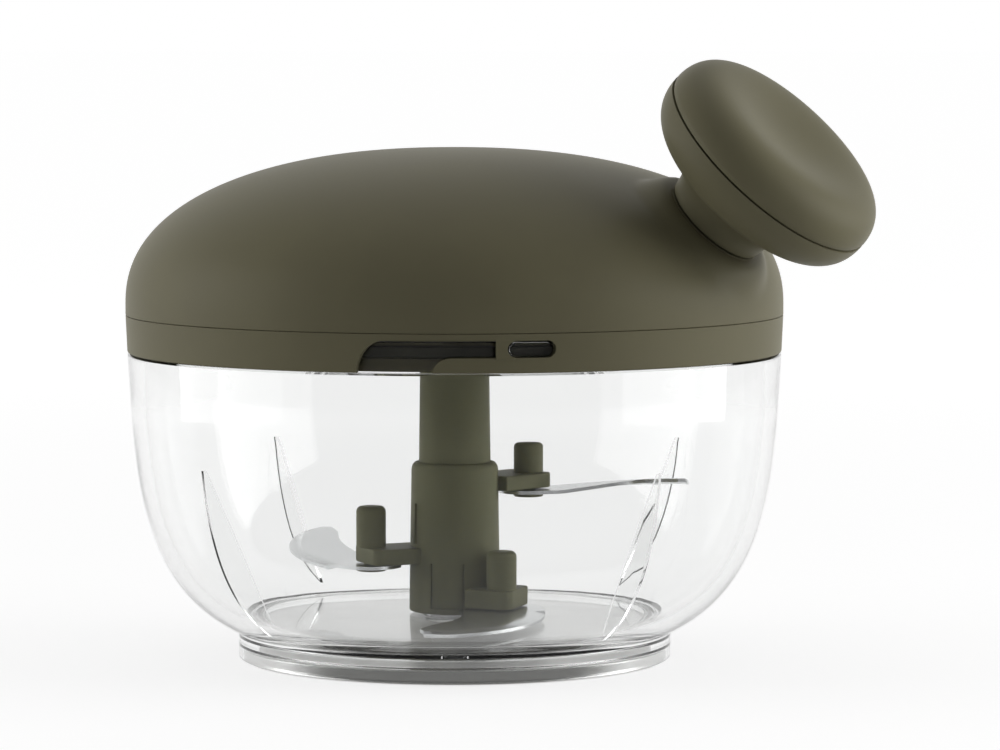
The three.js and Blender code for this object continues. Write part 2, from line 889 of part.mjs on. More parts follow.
// Clutch dog: slides on the drive tube's hexagon, teeth up
function makeDog() {
  const disc = solid(rod(dogRadius, dogBottom, dogTop, shaftSegments));
  const dogTeeth = teeth(0, dogTop - gap, dogTop + toothHeight);
  const hexHole = rod(clutchHexRadius + gap * 1.5, dogBottom - overrun, dogTop + overrun, 6);
  return cut(join(disc, ...dogTeeth), solid(hexHole));
}

add('clutch_dog', makeDog(), finish(clear, 0.5));

// Reel: two flanges, a hollow drum, and teeth under it
function makeReel() {
  const profile = [
    [tubeBore, reelBottom],
    [reelFlangeRadius, reelBottom],
    [reelFlangeRadius, grooveBottom],
    [reelDrumRadius, grooveBottom],
    [reelDrumRadius, grooveTop],
    [reelFlangeRadius, grooveTop],
    [reelFlangeRadius, reelTop],
    [cupRadius, reelTop],
    [cupRadius, cupFloor],
    [tubeBore, cupFloor],
  ];
  const body = solid(turned(profile, shaftSegments));
  return join(body, ...teeth(toothPitch / 2, reelBottom - toothHeight, reelBottom + gap));
}

add('reel', makeReel(), finish(clear, 0.5));

add(
  'cord_winding',
  turned(
    [
      [reelDrumRadius + gap, grooveBottom + gap],
      [reelDrumRadius + gap + cordRadius * 2, grooveBottom + gap],
      [reelDrumRadius + gap + cordRadius * 2, grooveTop - gap],
      [reelDrumRadius + gap, grooveTop - gap],
    ],
    shaftSegments,
  ),
  finish(clear, 0.8),
);

// Return spring: a flat strip wound from the arbor out to the drum
function makeReturnSpring() {
  const first = arborRadius + gap + springStrip;
  const last = cupRadius - gap * 2 - springStrip;
  const steps = springTurns * shaftSegments;
  const near = [];
  const far = [];
  for (let i = 0; i <= steps; i += 1) {
    const angle = (2 * Math.PI * springTurns * i) / steps;
    const radius = first + ((last - first) * i) / steps;
    const direction = new THREE.Vector2(Math.cos(angle), Math.sin(angle));
    near.push(direction.clone().multiplyScalar(radius - springStrip / 2).toArray());
    far.push(direction.multiplyScalar(radius + springStrip / 2).toArray());
  }
  return slab([...near, ...far.reverse()], springBottom, reelTop - gap * 3);
}

add('return_spring', makeReturnSpring(), finish(steel, 0.3, 1));

// Spring cover with the arbor
function makeCover() {
  const profile = [
    [tubeBore, springBottom],
    [arborRadius, springBottom],
    [arborRadius, coverBottom],
    [postPlace + coverRimMargin, coverBottom],
    [postPlace + coverRimMargin, coverTop],
    [tubeBore, coverTop],
  ];
  let cover = solid(turned(profile, shaftSegments));
  for (let i = 0; i < screwCount; i += 1) {
    const hole = rod(screwRadius + gap, coverBottom - overrun, coverTop + overrun);
    hole.translate(postPlace, 0, 0);
    cover = cut(cover, solid(around(hole, postTurn(i))));
  }
  return cover;
}

add('spring_cover', makeCover(), finish(darkOlive, 0.5));

for (let i = 0; i < screwCount; i += 1) {
  const headBottom = coverTop + gap;
  const headTop = headBottom + screwHeadThickness;
  const tip = headBottom - screwLength;
  const profile = [
    [0, tip],
    [screwRadius, tip],
    [screwRadius, headBottom],
    [screwHeadRadius, headBottom],
    [screwHeadRadius, headTop],
    [0, headTop],
  ];
  const screw = turned(profile, smallSegments).translate(postPlace, 0, 0);
  add(`cover_screw_${i + 1}`, around(screw, postTurn(i)), finish(steel, 0.35, 1));
}

// Axle that the reel and the top of the drive tube turn on
const axleTop = coverTop + gap;
add(
  'reel_axle',
  turned(
    [
      [0, plateTop],
      [axleRadius, plateTop],
      [axleRadius, axleTop],
      [axleHeadRadius, axleTop],
      [axleHeadRadius, axleTop + axleHeadThickness],
      [0, axleTop + axleHeadThickness],
    ],
    smallSegments,
  ),
  finish(steel, 0.25, 1),
);

// Cord from the reel to the eyelet, and on from the eyelet to the knob
const cordLevel = (grooveBottom + grooveTop) / 2;
const cordEntry = knobAxisPoint(eyeletMouth - gap);
const leaveAngle = -Math.acos(cordLine / cordEntry.x);
const leavePoint = new THREE.Vector3(
  cordLine * Math.cos(leaveAngle),
  cordLine * Math.sin(leaveAngle),
  cordLevel,
);
const beforeEntry = knobAxisPoint(eyeletMouth - cordRadius * 2);
const windingRadius = reelDrumRadius + gap + cordRadius * 2;
const leaveDistance = Math.sqrt((windingRadius + gap + cordRadius) ** 2 - cordLine ** 2);
const leaveShare = leaveDistance / leavePoint.distanceTo(beforeEntry);
const bendShare = 0.93;
const cordRun = new THREE.CatmullRomCurve3([
  leavePoint.clone().lerp(beforeEntry, leaveShare),
  leavePoint.clone().lerp(beforeEntry, (leaveShare + bendShare) / 2),
  leavePoint.clone().lerp(beforeEntry, bendShare),
  beforeEntry,
  cordEntry,
]);
add('pull_cord_run', tube(cordRun, cordRadius, 8, 20), finish(clear, 0.8));

const leadTop = knobFloor - gap;
add(
  'pull_cord_lead',
  onKnobAxis(rod(cordRadius, eyeletMouth, leadTop, 8)),
  finish(clear, 0.8),
);

add(
  'cord_knot',
  onKnobAxis(new THREE.SphereGeometry(knotRadius, smallSegments, 8).rotateX(Math.PI / 2)
    .translate(0, 0, knobFloor + knotRadius)),
  finish(clear, 0.8),
);

// Knob: a hollow back with its neck, and a dished cap
function makeKnobBack() {
  const bore = cordRadius + cordPlay;
  const flare = knobNeckLength + gap;
  const outer = quarter(
    knobFootRadius,
    knobRadius - knobFootRadius,
    knobSeam - gap / 2,
    -knobBackDepth,
    knobBackExponentShare,
    curveSteps - 2,
  ).filter(([radius]) => radius > knobThroatRadius);
  const plugRoom = knobPlugDepth + gap;
  const inner = quarter(
    knobFootRadius,
    knobRadius - knobFootRadius - knobWall - gap,
    knobSeam - gap / 2 - plugRoom,
    knobWall + plugRoom - knobBackDepth,
    2,
    curveSteps - 3,
  );
  return turned(
    [
      [bore, gap],
      [knobFootRadius, gap],
      [knobWaistRadius, gap + knobNeckLength / 2],
      [knobThroatRadius, flare - knobThroatRise],
      ...outer.reverse(),
      [knobRadius - knobWall - gap, knobSeam - gap / 2],
      ...inner,
      [bore, knobFloor],
    ],
    knobSegments,
  );
}

add('knob_back', onKnobAxis(makeKnobBack()), finish(olive, 0.45));

function makeKnobCap() {
  const seam = knobSeam + gap / 2;
  const reach = knobRadius - knobFaceRadius;
  const outer = quarter(knobFaceRadius, reach, seam, knobFrontDepth, knobFrontExponentShare, 6);
  const plugOuter = knobRadius - knobWall - gap * 2;
  const plugInnerSide = plugOuter - knobWall;
  const dishSteps = 3;
  const front = [];
  for (let i = dishSteps; i >= 0; i -= 1) {
    const share = i / (dishSteps + 1);
    const depth = knobDish * (1 - share ** 2) ** 2;
    front.push([knobFaceRadius * share, seam + knobFrontDepth - depth]);
  }
  const back = front.map(([radius, height]) => [radius, height - knobWall]).reverse();
  return turned(
    [
      ...back,
      [plugInnerSide - knobWall, seam + knobFrontDepth - knobWall],
      [plugInnerSide, seam + (knobFrontDepth - knobWall) / 2],
      [plugInnerSide, seam - knobPlugDepth],
      [plugOuter, seam - knobPlugDepth],
      [plugOuter, seam],
      ...outer,
      ...front,
    ],
    knobSegments,
  );
}

add('knob_cap', onKnobAxis(makeKnobCap()), finish(olive, 0.45));

// Rotor
const pinHole = pinShankRadius + gap;

function makeHub() {
  const bushHole = pivotRadius + gap + pivotBushWall + gap;
  const rounding = quarter(
    hubTopRadius - hubTopRounding,
    hubTopRounding,
    hubTop - hubTopRounding,
    hubTopRounding,
    2,
    3,
  );
  const tubeHole = tubeFootRadius + gap;
  const profile = [
    [bushHole, hubBottom],
    [hubFootRadius, hubBottom],
    ...rounding.filter(([radius]) => radius > tubeHole),
    [tubeHole, hubTop - hubTopRounding / 4],
    [tubeHole, hubTop - tubeSeatDepth],
    [0, hubTop - tubeSeatDepth],
    [0, hubBottom + pivotBushLength + gap],
    [bushHole, hubBottom + pivotBushLength + gap],
  ];
  const start = profile.findIndex(([radius]) => radius === 0) + 1;
  let hub = solid(turned([...profile.slice(start), ...profile.slice(0, start)], shaftSegments));
  for (const station of stations) {
    const top = hubBottom + station.top;
    const outline = [
      [hubTopRadius / 3, -armOuterSide],
      [station.reach, -armOuterSide],
      [station.reach, armInnerSide],
      [hubTopRadius / 3, armInnerSide],
    ];
    const arm = solid(around(slab(outline, top - station.thickness, top), station.turnDegrees));
    const clearOfBore = solid(rod(bushHole, hubBottom - overrun, hubTop, shaftSegments));
    hub = join(hub, cut(arm, clearOfBore));
    const hole = rod(pinHole, top - station.thickness - overrun, top + overrun);
    hole.translate(station.pinOut, -pinSide, 0);
    hub = cut(hub, solid(around(hole, station.turnDegrees)));
  }
  const socket = rod(spigotRadius + gap, socketBottom, hubTop, 6);
  return cut(hub, solid(socket));
}

add('blade_hub', makeHub(), finish(olive, 0.45));

add(
  'pivot_bush',
  turned(
    [
      [pivotRadius + gap, hubBottom],
      [pivotRadius + gap + pivotBushWall, hubBottom],
      [pivotRadius + gap + pivotBushWall, hubBottom + pivotBushLength],
      [pivotRadius + gap, hubBottom + pivotBushLength],
    ],
    smallSegments,
  ),
  finish(clear, 0.5),
);

// A blade: bowed strip with a round root, folded up beyond its arm towards the tip
function makeBlade(station) {
  const tipNarrowShare = 0.35;
  const foldShare = 0.12;
  const rootSteps = 3;
  const root = new THREE.Vector2(station.pinOut, -pinSide);
  const tipAngle = radians(-station.sweepDegrees);
  const tip = new THREE.Vector2(Math.cos(tipAngle), Math.sin(tipAngle));
  tip.multiplyScalar(station.tipRadius - (station.tipWidth * tipNarrowShare) / 2);
  const along = tip.clone().sub(root).normalize();
  const middle = root.clone().lerp(tip, 0.5);
  middle.addScaledVector(new THREE.Vector2(-along.y, along.x), station.bulge);
  const curve = new THREE.QuadraticBezierCurve(root, middle, tip);
  const top = hubBottom + station.top - station.thickness - gap;
  const section = (at, forward, half, lift) => {
    const side = new THREE.Vector2(-forward.y, forward.x).multiplyScalar(half);
    const high = top + lift;
    return [
      new THREE.Vector3(at.x - side.x, at.y - side.y, high - bladeThickness),
      new THREE.Vector3(at.x + side.x, at.y + side.y, high - bladeThickness),
      new THREE.Vector3(at.x + side.x, at.y + side.y, high),
      new THREE.Vector3(at.x - side.x, at.y - side.y, high),
    ];
  };
  const sections = [];
  const start = curve.getTangent(0);
  for (let i = 1; i <= rootSteps; i += 1) {
    const angle = (Math.PI / 2) * (1 - i / (rootSteps + 1));
    const half = station.rootWidth / 2;
    const at = root.clone().addScaledVector(start, -half * Math.sin(angle));
    sections.push(section(at, start, half * Math.cos(angle), 0));
  }
  for (let i = 0; i <= curveSteps; i += 1) {
    const share = i / curveSteps;
    const straight = station.rootWidth + (station.tipWidth - station.rootWidth) * share;
    const width = straight + station.swell * Math.sin(Math.PI * share);
    const half = (width / 2) * (i === curveSteps ? tipNarrowShare : 1);
    const lift = station.lift * Math.max(0, (share - foldShare) / (1 - foldShare));
    sections.push(section(curve.getPoint(share), curve.getTangent(share), half, lift));
  }
  const hole = rod(pinHole, top - bladeThickness - overrun, top + overrun);
  hole.translate(root.x, root.y, 0);
  const hubRoom = rod(hubFootRadius + gap, hubBottom, hubTop, shaftSegments);
  const blade = cut(solid(lofted(sections)), solid(hole), solid(hubRoom));
  return around(shapeOf(blade), station.turnDegrees);
}

function makePin(station) {
  const armTop = hubBottom + station.top;
  const postBottom = armTop + gap;
  const postTop = armTop + station.pinHeight;
  const headTop = armTop - station.thickness - gap - bladeThickness - gap;
  const headBottom = headTop - station.head;
  const bevel = Math.min(pinTopBevel, station.head / 2);
  const pin = turned(
    [
      [0, headBottom],
      [pinRadius - bevel, headBottom],
      [pinRadius, headBottom + bevel],
      [pinRadius, headTop],
      [pinShankRadius, headTop],
      [pinShankRadius, postBottom],
      [pinRadius, postBottom],
      [pinRadius, postTop - pinTopBevel],
      [pinRadius - pinTopBevel, postTop],
      [0, postTop],
    ],
    smallSegments,
  );
  pin.translate(station.pinOut, -pinSide, 0);
  return around(pin, station.turnDegrees);
}

for (const station of stations) {
  add(`blade_${station.name}`, makeBlade(station), finish(steel, 0.2, 1));
  add(`blade_pin_${station.name}`, makePin(station), finish(olive, 0.45));
}

export default group;
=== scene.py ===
import math
import bmesh
import bpy
from mathutils import Matrix, Vector


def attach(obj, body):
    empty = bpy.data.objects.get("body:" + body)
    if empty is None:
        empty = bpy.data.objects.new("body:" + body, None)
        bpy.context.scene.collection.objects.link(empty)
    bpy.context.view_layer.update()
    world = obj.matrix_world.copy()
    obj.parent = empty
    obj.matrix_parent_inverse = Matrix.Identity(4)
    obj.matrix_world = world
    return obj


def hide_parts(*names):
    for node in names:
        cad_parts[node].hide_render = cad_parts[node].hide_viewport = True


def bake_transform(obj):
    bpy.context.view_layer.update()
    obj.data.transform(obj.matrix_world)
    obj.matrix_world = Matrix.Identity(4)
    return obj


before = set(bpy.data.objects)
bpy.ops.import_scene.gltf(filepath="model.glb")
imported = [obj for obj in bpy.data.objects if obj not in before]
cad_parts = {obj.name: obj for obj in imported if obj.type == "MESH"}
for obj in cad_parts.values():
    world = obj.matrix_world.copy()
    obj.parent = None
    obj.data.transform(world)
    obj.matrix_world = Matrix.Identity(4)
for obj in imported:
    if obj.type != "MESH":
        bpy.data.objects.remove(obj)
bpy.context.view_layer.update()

# Camera: in front of the chopper and a little above its lid, with a long lens. The
# chopper's knob points off to the right, so the view is turned round the bowl's axis.
view_turn = Matrix.Rotation(math.radians(29), 4, "Z")
camera_place = Vector((0, -0.95884, 0.12609))
pan = math.radians(0.537)
dip = math.radians(4.163)
looking = Vector((math.sin(pan) * math.cos(dip), math.cos(pan) * math.cos(dip), -math.sin(dip)))
camera = bpy.data.objects.new("camera", bpy.data.cameras.new("camera"))
camera.data.sensor_width = 36
camera.data.lens = 174.594
camera.data.clip_start = 0.01
camera.data.clip_end = 50
camera.matrix_world = view_turn @ Matrix.LocRotScale(
    camera_place, looking.to_track_quat("-Z", "Y"), None
)
bpy.context.scene.collection.objects.link(camera)
bpy.context.scene.camera = camera
bpy.context.scene.view_settings.view_transform = "Standard"


# Studio: two soft boxes at the sides, a weaker one overhead, and a plain surround that
# is white behind the chopper and dark in front of it, where only gloss mirrors it.
class Wire:
    """A node's output in one node tree, which can be used in sums."""

    def __init__(self, tree, output=None):
        self.tree = tree
        self.output = output

    def node(self, kind, settings=None, sockets=None, output=0):
        made = self.tree.nodes.new("ShaderNode" + kind)
        for name, value in (settings or {}).items():
            setattr(made, name, value)
        for name, value in (sockets or {}).items():
            if isinstance(value, Wire):
                feed(value, made, name)
            else:
                made.inputs[name].default_value = value
        return Wire(self.tree, made.outputs[output])

    def math(self, operation, first, second=0.0, third=0.0):
        return self.node("Math", {"operation": operation}, {0: first, 1: second, 2: third})

    def __add__(self, other):
        return self.math("ADD", self, other)

    def __radd__(self, other):
        return self.math("ADD", other, self)

    def __sub__(self, other):
        return self.math("SUBTRACT", self, other)

    def __rsub__(self, other):
        return self.math("SUBTRACT", other, self)

    def __mul__(self, other):
        return self.math("MULTIPLY", self, other)

    def __rmul__(self, other):
        return self.math("MULTIPLY", other, self)

    def between(self, low, high):
        """0 below low, 1 above high, and smooth in between."""
        return self.node(
            "MapRange",
            {"interpolation_type": "SMOOTHSTEP"},
            {"Value": self, "From Min": low, "From Max": high},
        )


def feed(wire, node, socket):
    """Links a wire's output to a socket of a node."""
    wire.tree.links.new(wire.output, node.inputs[socket])


def background_rays(wire):
    """Two wires: 1 for the rays that show the background as it is, straight or through
    glass and gloss, and 1 for those of them that some gloss has mirrored."""
    path = {
        name: wire.node("LightPath", output=name)
        for name in (
            "Is Camera Ray",
            "Is Glossy Ray",
            "Is Transmission Ray",
            "Diffuse Depth",
            "Glossy Depth",
        )
    }
    seen = wire.math("MAXIMUM", path["Is Camera Ray"], path["Is Glossy Ray"])
    seen = wire.math("MAXIMUM", seen, path["Is Transmission Ray"])
    seen = seen * wire.math("LESS_THAN", path["Diffuse Depth"], 0.5)
    return seen, wire.math("GREATER_THAN", path["Glossy Depth"], 0.5)


lamp_target = Vector((0, 0, 0.05))
soft_boxes = {
    # place, width and power
    "left": ((-0.64, -0.04, 0.12), 0.6, 2.5),
    "right": ((0.64, -0.06, 0.12), 0.6, 3.5),
    "overhead": ((0.0, 0.12, 0.85), 0.7, 0.5),
}
for name, (place, width, power) in soft_boxes.items():
    lamp = bpy.data.objects.new(name + "_light", bpy.data.lights.new(name + "_light", "AREA"))
    lamp.data.size = width
    lamp.data.energy = power
    aim = (lamp_target - Vector(place)).to_track_quat("-Z", "Y")
    lamp.matrix_world = view_turn @ Matrix.LocRotScale(Vector(place), aim, None)
    lamp.visible_camera = False
    bpy.context.scene.collection.objects.link(lamp)

ambient_level = 0.29
front_level = 0.04
front_dimming = 0.6
front_starts = -0.1
front_is_full = 0.85
towards_camera = view_turn @ Vector((0, -1, 0))
world = bpy.data.worlds.new("studio")
bpy.context.scene.world = world
world.use_nodes = True
around = Wire(world.node_tree)
facing = around.node(
    "VectorMath",
    {"operation": "DOT_PRODUCT"},
    {0: around.node("TexCoord", output="Generated"), 1: towards_camera},
    "Value",
)
front = facing.between(front_starts, front_is_full)
seen, mirrored = background_rays(around)
shown = 1 - (1 - front_level) * front * mirrored
lit = ambient_level * (1 - front_dimming * front)
surround = world.node_tree.nodes["Background"]
surround.inputs["Color"].default_value = (1, 1, 1, 1)
feed(lit + seen * (shown - lit), surround, "Strength")


# Floor: a plain white table that fades into the white behind it and keeps the shadow.
# Like the surround, it is dark in front of the chopper where gloss mirrors it.
def object_of(name, shape):
    """An object in the scene with this shape for its mesh."""
    mesh = bpy.data.meshes.new(name)
    shape.to_mesh(mesh)
    shape.free()
    made = bpy.data.objects.new(name, mesh)
    bpy.context.scene.collection.objects.link(made)
    return made


table_radius = 20
table_white = 0.8
white_from_glow = 0.45
near_glow = 0.80
far_glow_gain = 0.11
fade_starts, fade_ends = 0.08, 1.0
dark_starts, dark_ends = 0.04, 0.16
table_shape = bmesh.new()
bmesh.ops.create_circle(table_shape, cap_ends=True, segments=96, radius=table_radius)
table = object_of("table", table_shape)
table_finish = bpy.data.materials.new("white_table")
table_finish.use_nodes = True
table_finish.node_tree.nodes.clear()
sheet = Wire(table_finish.node_tree)
place = sheet.node("TexCoord", output="Object")
distance = sheet.node("VectorMath", {"operation": "LENGTH"}, {0: place}, "Value")
forward = sheet.node(
    "VectorMath", {"operation": "DOT_PRODUCT"}, {0: place, 1: towards_camera}, "Value"
)
seen, mirrored = background_rays(sheet)
shown = 1 - (1 - front_level) * forward.between(dark_starts, dark_ends) * mirrored
whiteness = seen * shown * (near_glow + far_glow_gain * distance.between(fade_starts, fade_ends))
glow = sheet.node("Emission", None, {"Color": (1, 1, 1, 1), "Strength": whiteness})
matte = sheet.node("BsdfDiffuse", None, {"Color": table_white - white_from_glow * seen * shown})
both = sheet.node("AddShader", None, {0: matte, 1: glow})
feed(both, table_finish.node_tree.nodes.new("ShaderNodeOutputMaterial"), "Surface")
table.data.materials.append(table_finish)


# Bowl: one clear injection-moulded piece, with a stepped neck for the lid, three bayonet
# lugs on the neck, four ribs inside, and a hollow foot with a boss for the steel pin.
def turned(profile, steps=128):
    """A closed profile of (radius, height) or (radius, height, rounding), in millimetres,
    spun about Z. It closes itself, along the axis where it starts and ends there."""
    shape = bmesh.new()
    corners = [shape.verts.new((point[0] * 0.001, 0, point[1] * 0.001)) for point in profile]
    for first, second in zip(corners, corners[1:]):
        shape.edges.new((first, second))
    if profile[0][0] or profile[-1][0]:
        shape.edges.new((corners[-1], corners[0]))
    for corner, point in zip(corners, profile):
        if len(point) == 3:
            bmesh.ops.bevel(
                shape,
                geom=[corner],
                offset=point[2] * 0.001,
                segments=5,
                profile=0.5,
                affect="VERTICES",
                material=-1,
            )
    bmesh.ops.spin(
        shape,
        geom=shape.verts[:] + shape.edges[:],
        cent=(0, 0, 0),
        axis=(0, 0, 1),
        angle=2 * math.pi,
        steps=steps,
        use_merge=True,
    )
    bmesh.ops.remove_doubles(shape, verts=shape.verts, dist=0.000001)
    bmesh.ops.recalc_face_normals(shape, faces=shape.faces)
    return shape


def plate(outline, front, back):
    """A flat plate with an outline of (x, z) points, from one y to another."""
    shape = bmesh.new()
    face = shape.faces.new([shape.verts.new((x, front, z)) for x, z in outline])
    grown = bmesh.ops.extrude_face_region(shape, geom=[face])["geom"]
    ends = [part for part in grown if isinstance(part, bmesh.types.BMVert)]
    bmesh.ops.translate(shape, vec=(0, back - front, 0), verts=ends)
    return shape


def in_millimetres(shape):
    """A plate drawn in millimetres, at its real size and with its faces outwards."""
    bmesh.ops.scale(shape, vec=(0.001, 0.001, 0.001), verts=shape.verts)
    bmesh.ops.recalc_face_normals(shape, faces=shape.faces)
    return shape


def wrapped(outline, inner, outer, slice_degrees=3):
    """An outline of (degrees, height) as a thick patch round the axis, between two radii."""
    shape = plate(outline, inner, outer)
    lowest = min(angle for angle, _ in outline)
    highest = max(angle for angle, _ in outline)
    for i in range(1, int((highest - lowest) / slice_degrees) + 1):
        bmesh.ops.bisect_plane(
            shape,
            geom=shape.verts[:] + shape.edges[:] + shape.faces[:],
            plane_co=(lowest + i * slice_degrees, 0, 0),
            plane_no=(1, 0, 0),
        )
    for vert in shape.verts:
        angle, radius, z = vert.co
        turn = math.radians(angle)
        vert.co = (radius * math.cos(turn), radius * math.sin(turn), z)
    return in_millimetres(shape)


def combined(shape, operation, *others):
    """The shape joined with the others, or cut by them, as a moulding tool would."""
    made = [object_of("working", part) for part in (shape, *others)]
    for other in made[1:]:
        step = made[0].modifiers.new("step", "BOOLEAN")
        step.operation = operation
        step.solver = "EXACT"
        step.object = other
    finished = made[0].evaluated_get(bpy.context.evaluated_depsgraph_get())
    result = bmesh.new()
    result.from_mesh(finished.to_mesh())
    finished.to_mesh_clear()
    for working in made:
        bpy.data.meshes.remove(working.data)
    return result


def softened(shape, width, chosen=lambda edge: True, segments=2, sharpest=35):
    """Rounds the sharp edges that are chosen."""
    sharp = [
        edge
        for edge in shape.edges
        if edge.is_manifold and edge.calc_face_angle() > math.radians(sharpest) and chosen(edge)
    ]
    bmesh.ops.bevel(
        shape,
        geom=sharp,
        offset=width * 0.001,
        segments=segments,
        profile=0.5,
        affect="EDGES",
        clamp_overlap=True,
        material=-1,
    )
    return shape


def outside(radius, top=math.inf):
    """Chooses the edges past a radius and under a height, in millimetres."""
    return lambda edge: all(
        vert.co.xy.length > radius * 0.001 and vert.co.z < top * 0.001 for vert in edge.verts
    )


def moved(shape, matrix):
    bmesh.ops.transform(shape, matrix=matrix, verts=shape.verts)
    return shape


def spun(shape, degrees):
    return moved(shape, Matrix.Rotation(math.radians(degrees), 4, "Z"))


def piece(name, shape, finish, body, slot, *nodes, sharpest=32):
    """A finished piece of the chopper, which stands for its CAD nodes."""
    made = object_of(name, shape)
    made.data.shade_smooth()
    made.data.set_sharp_from_angle(angle=math.radians(sharpest))
    made.data.materials.append(finish)
    made.modifiers.new("even_shading", "WEIGHTED_NORMAL").keep_sharp = True
    if body:
        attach(made, body)
    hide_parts(*nodes)
    return made


def finish_of(name, settings):
    """A material with these constant settings, its node tree to add to, and its shader."""
    made = bpy.data.materials.new(name)
    made.use_nodes = True
    shader = made.node_tree.nodes["Principled BSDF"]
    for socket, value in settings.items():
        shader.inputs[socket].default_value = value
    return made, Wire(made.node_tree), shader


def noise(wire, scale, detail, turn=0.0):
    """Noise on the piece's own coordinates. A scale for each axis draws it into streaks,
    which can be turned about Z."""
    place = wire.node("TexCoord", output="Object")
    if isinstance(scale, tuple):
        place = wire.node(
            "Mapping", None, {"Vector": place, "Rotation": (0, 0, turn), "Scale": scale}
        )
        scale = 1
    return wire.node("TexNoise", None, {"Vector": place, "Scale": scale, "Detail": detail})


def bump(wire, height, depth, strength=1.0):
    return wire.node("Bump", None, {"Strength": strength, "Distance": depth, "Height": height})


shoulder_height = 61.1
rim_height = 67
neck_radius = 62.7
neck_inner = 61.2
bowl_wall = 2.8
belly_ends = ((64.7, 61.1), (42.9, 5.8))
belly_handles = ((63.19, 38.46), (63.33, 14.99))
floor_top = 7.5
floor_underside = 4.9
pin_socket_radius = 2.8
pin_socket_floor = 4.6
pin_boss_radius = 6
pin_boss_bottom = 3.3
foot_radius = 42.9
foot_groove_radius = 42.2
foot_inner = 38.9
foot_bottom = 0.5
pad_ceiling = 3.0


def belly(depth, steps=28):
    """The bowl's side from the shoulder down to the foot, moved in by a depth."""
    start, end = (Vector(point) for point in belly_ends)
    upper, lower = (Vector(point) for point in belly_handles)
    points = []
    for i in range(steps + 1):
        t = i / steps
        s = 1 - t
        at = s**3 * start + 3 * s * s * t * upper + 3 * s * t * t * lower + t**3 * end
        along = s * s * (upper - start) + 2 * s * t * (lower - upper) + t * t * (end - lower)
        along.normalize()
        points.append((at.x + along.y * depth, at.y - along.x * depth))
    return points


inside = [
    (min(radius, neck_inner), height)
    for radius, height in belly(bowl_wall)
    if floor_top + 0.8 < height < shoulder_height - 6
]
bowl_shape = turned(
    [
        (0, pin_boss_bottom),
        (0, pin_socket_floor),
        (pin_socket_radius, pin_socket_floor),
        (pin_socket_radius, floor_top, 0.2),
        (39.9, floor_top, 0.8),
        *reversed(inside),
        (neck_inner, shoulder_height - 5.9),
        (neck_inner, rim_height, 0.4),
        (neck_radius, rim_height, 0.4),
        (neck_radius, shoulder_height, 0.15),
        (64.2, shoulder_height),
        (64.65, shoulder_height - 0.35),
        *belly(0)[1:],
        (foot_radius, foot_bottom, 0.5),
        (foot_groove_radius, foot_bottom, 0.15),
        (foot_groove_radius, pad_ceiling),
        (foot_inner, pad_ceiling, 0.3),
        (foot_inner, floor_underside, 0.6),
        (pin_boss_radius, floor_underside, 0.4),
        (pin_boss_radius, pin_boss_bottom, 0.4),
    ],
    160,
)

rib_top = 41
rib_foot = 9.2
rib_sunk = rib_foot - 1.4
rib_thickness = 0.6
rib_turn = 68
in_wall = [point for point in belly(bowl_wall / 2) if rib_foot < point[1] < rib_top]
wall_at_top = min((p for p in belly(bowl_wall) if p[1] < rib_top), key=lambda p: -p[1])[0]
rib_outline = [
    (44, rib_sunk),
    (44, rib_foot),
    (wall_at_top - 0.6, rib_top),
    (wall_at_top + 1.4, rib_top),
    *in_wall,
    (45.4, rib_sunk),
]
ribs = [
    spun(in_millimetres(plate(rib_outline, -rib_thickness / 2, rib_thickness / 2)), degrees)
    for degrees in range(rib_turn, rib_turn + 360, 90)
]

lug_centre = -48.15
lug_span = 7.5
lug_middle = 65.625
lug_half = 1.275
lug_root = 61.95
lug_face = 64.3
lug_end = math.degrees(lug_half / neck_radius)
lug_outline = []
for i in range(32):
    turn = 2 * math.pi * (i + 0.5) / 32
    across = lug_end * math.cos(turn) + math.copysign(lug_span / 2 - lug_end, math.cos(turn))
    lug_outline.append((across, lug_middle + lug_half * math.sin(turn)))
lugs = []
for i in range(3):
    lug = wrapped(lug_outline, lug_root, lug_face, 20)
    softened(lug, 0.4, outside(lug_face - 0.1), 3)
    lugs.append(spun(lug, lug_centre + 120 * i))
bowl_shape = combined(bowl_shape, "UNION", *ribs, *lugs)

clear_plastic, wire, shader = finish_of(
    "clear_plastic",
    {
        "Base Color": (0.948, 0.951, 0.949, 1),
        "IOR": 1.5,
        "Transmission Weight": 1.0,
        "Specular Tint": (0.4, 0.4, 0.4, 1),
    },
)
scuffs = noise(wire, 260, 4)
waves = noise(wire, 45, 1)
feed(0.012 + 0.03 * scuffs.between(0.5, 0.8), shader, "Roughness")
feed(bump(wire, waves, 0.00012, 0.35), shader, "Normal")
piece("clear_bowl", bowl_shape, clear_plastic, "bowl", "clear_plastic", "bowl")


# Non-slip pad: a disc of translucent silicone with a rounded edge, pressed into the
# hollow of the foot. It looks paler at a slant than straight on.
def colour(red, green, blue):
    """A colour as a screen shows it, 0 to 255, as the light it stands for."""
    levels = [part / 255 for part in (red, green, blue)]
    light = [c / 12.92 if c <= 0.04045 else ((c + 0.055) / 1.055) ** 2.4 for c in levels]
    return (*light, 1)


def mixed(wire, share, first, second):
    return wire.node("Mix", {"data_type": "RGBA"}, {0: share, 6: first, 7: second}, 2)


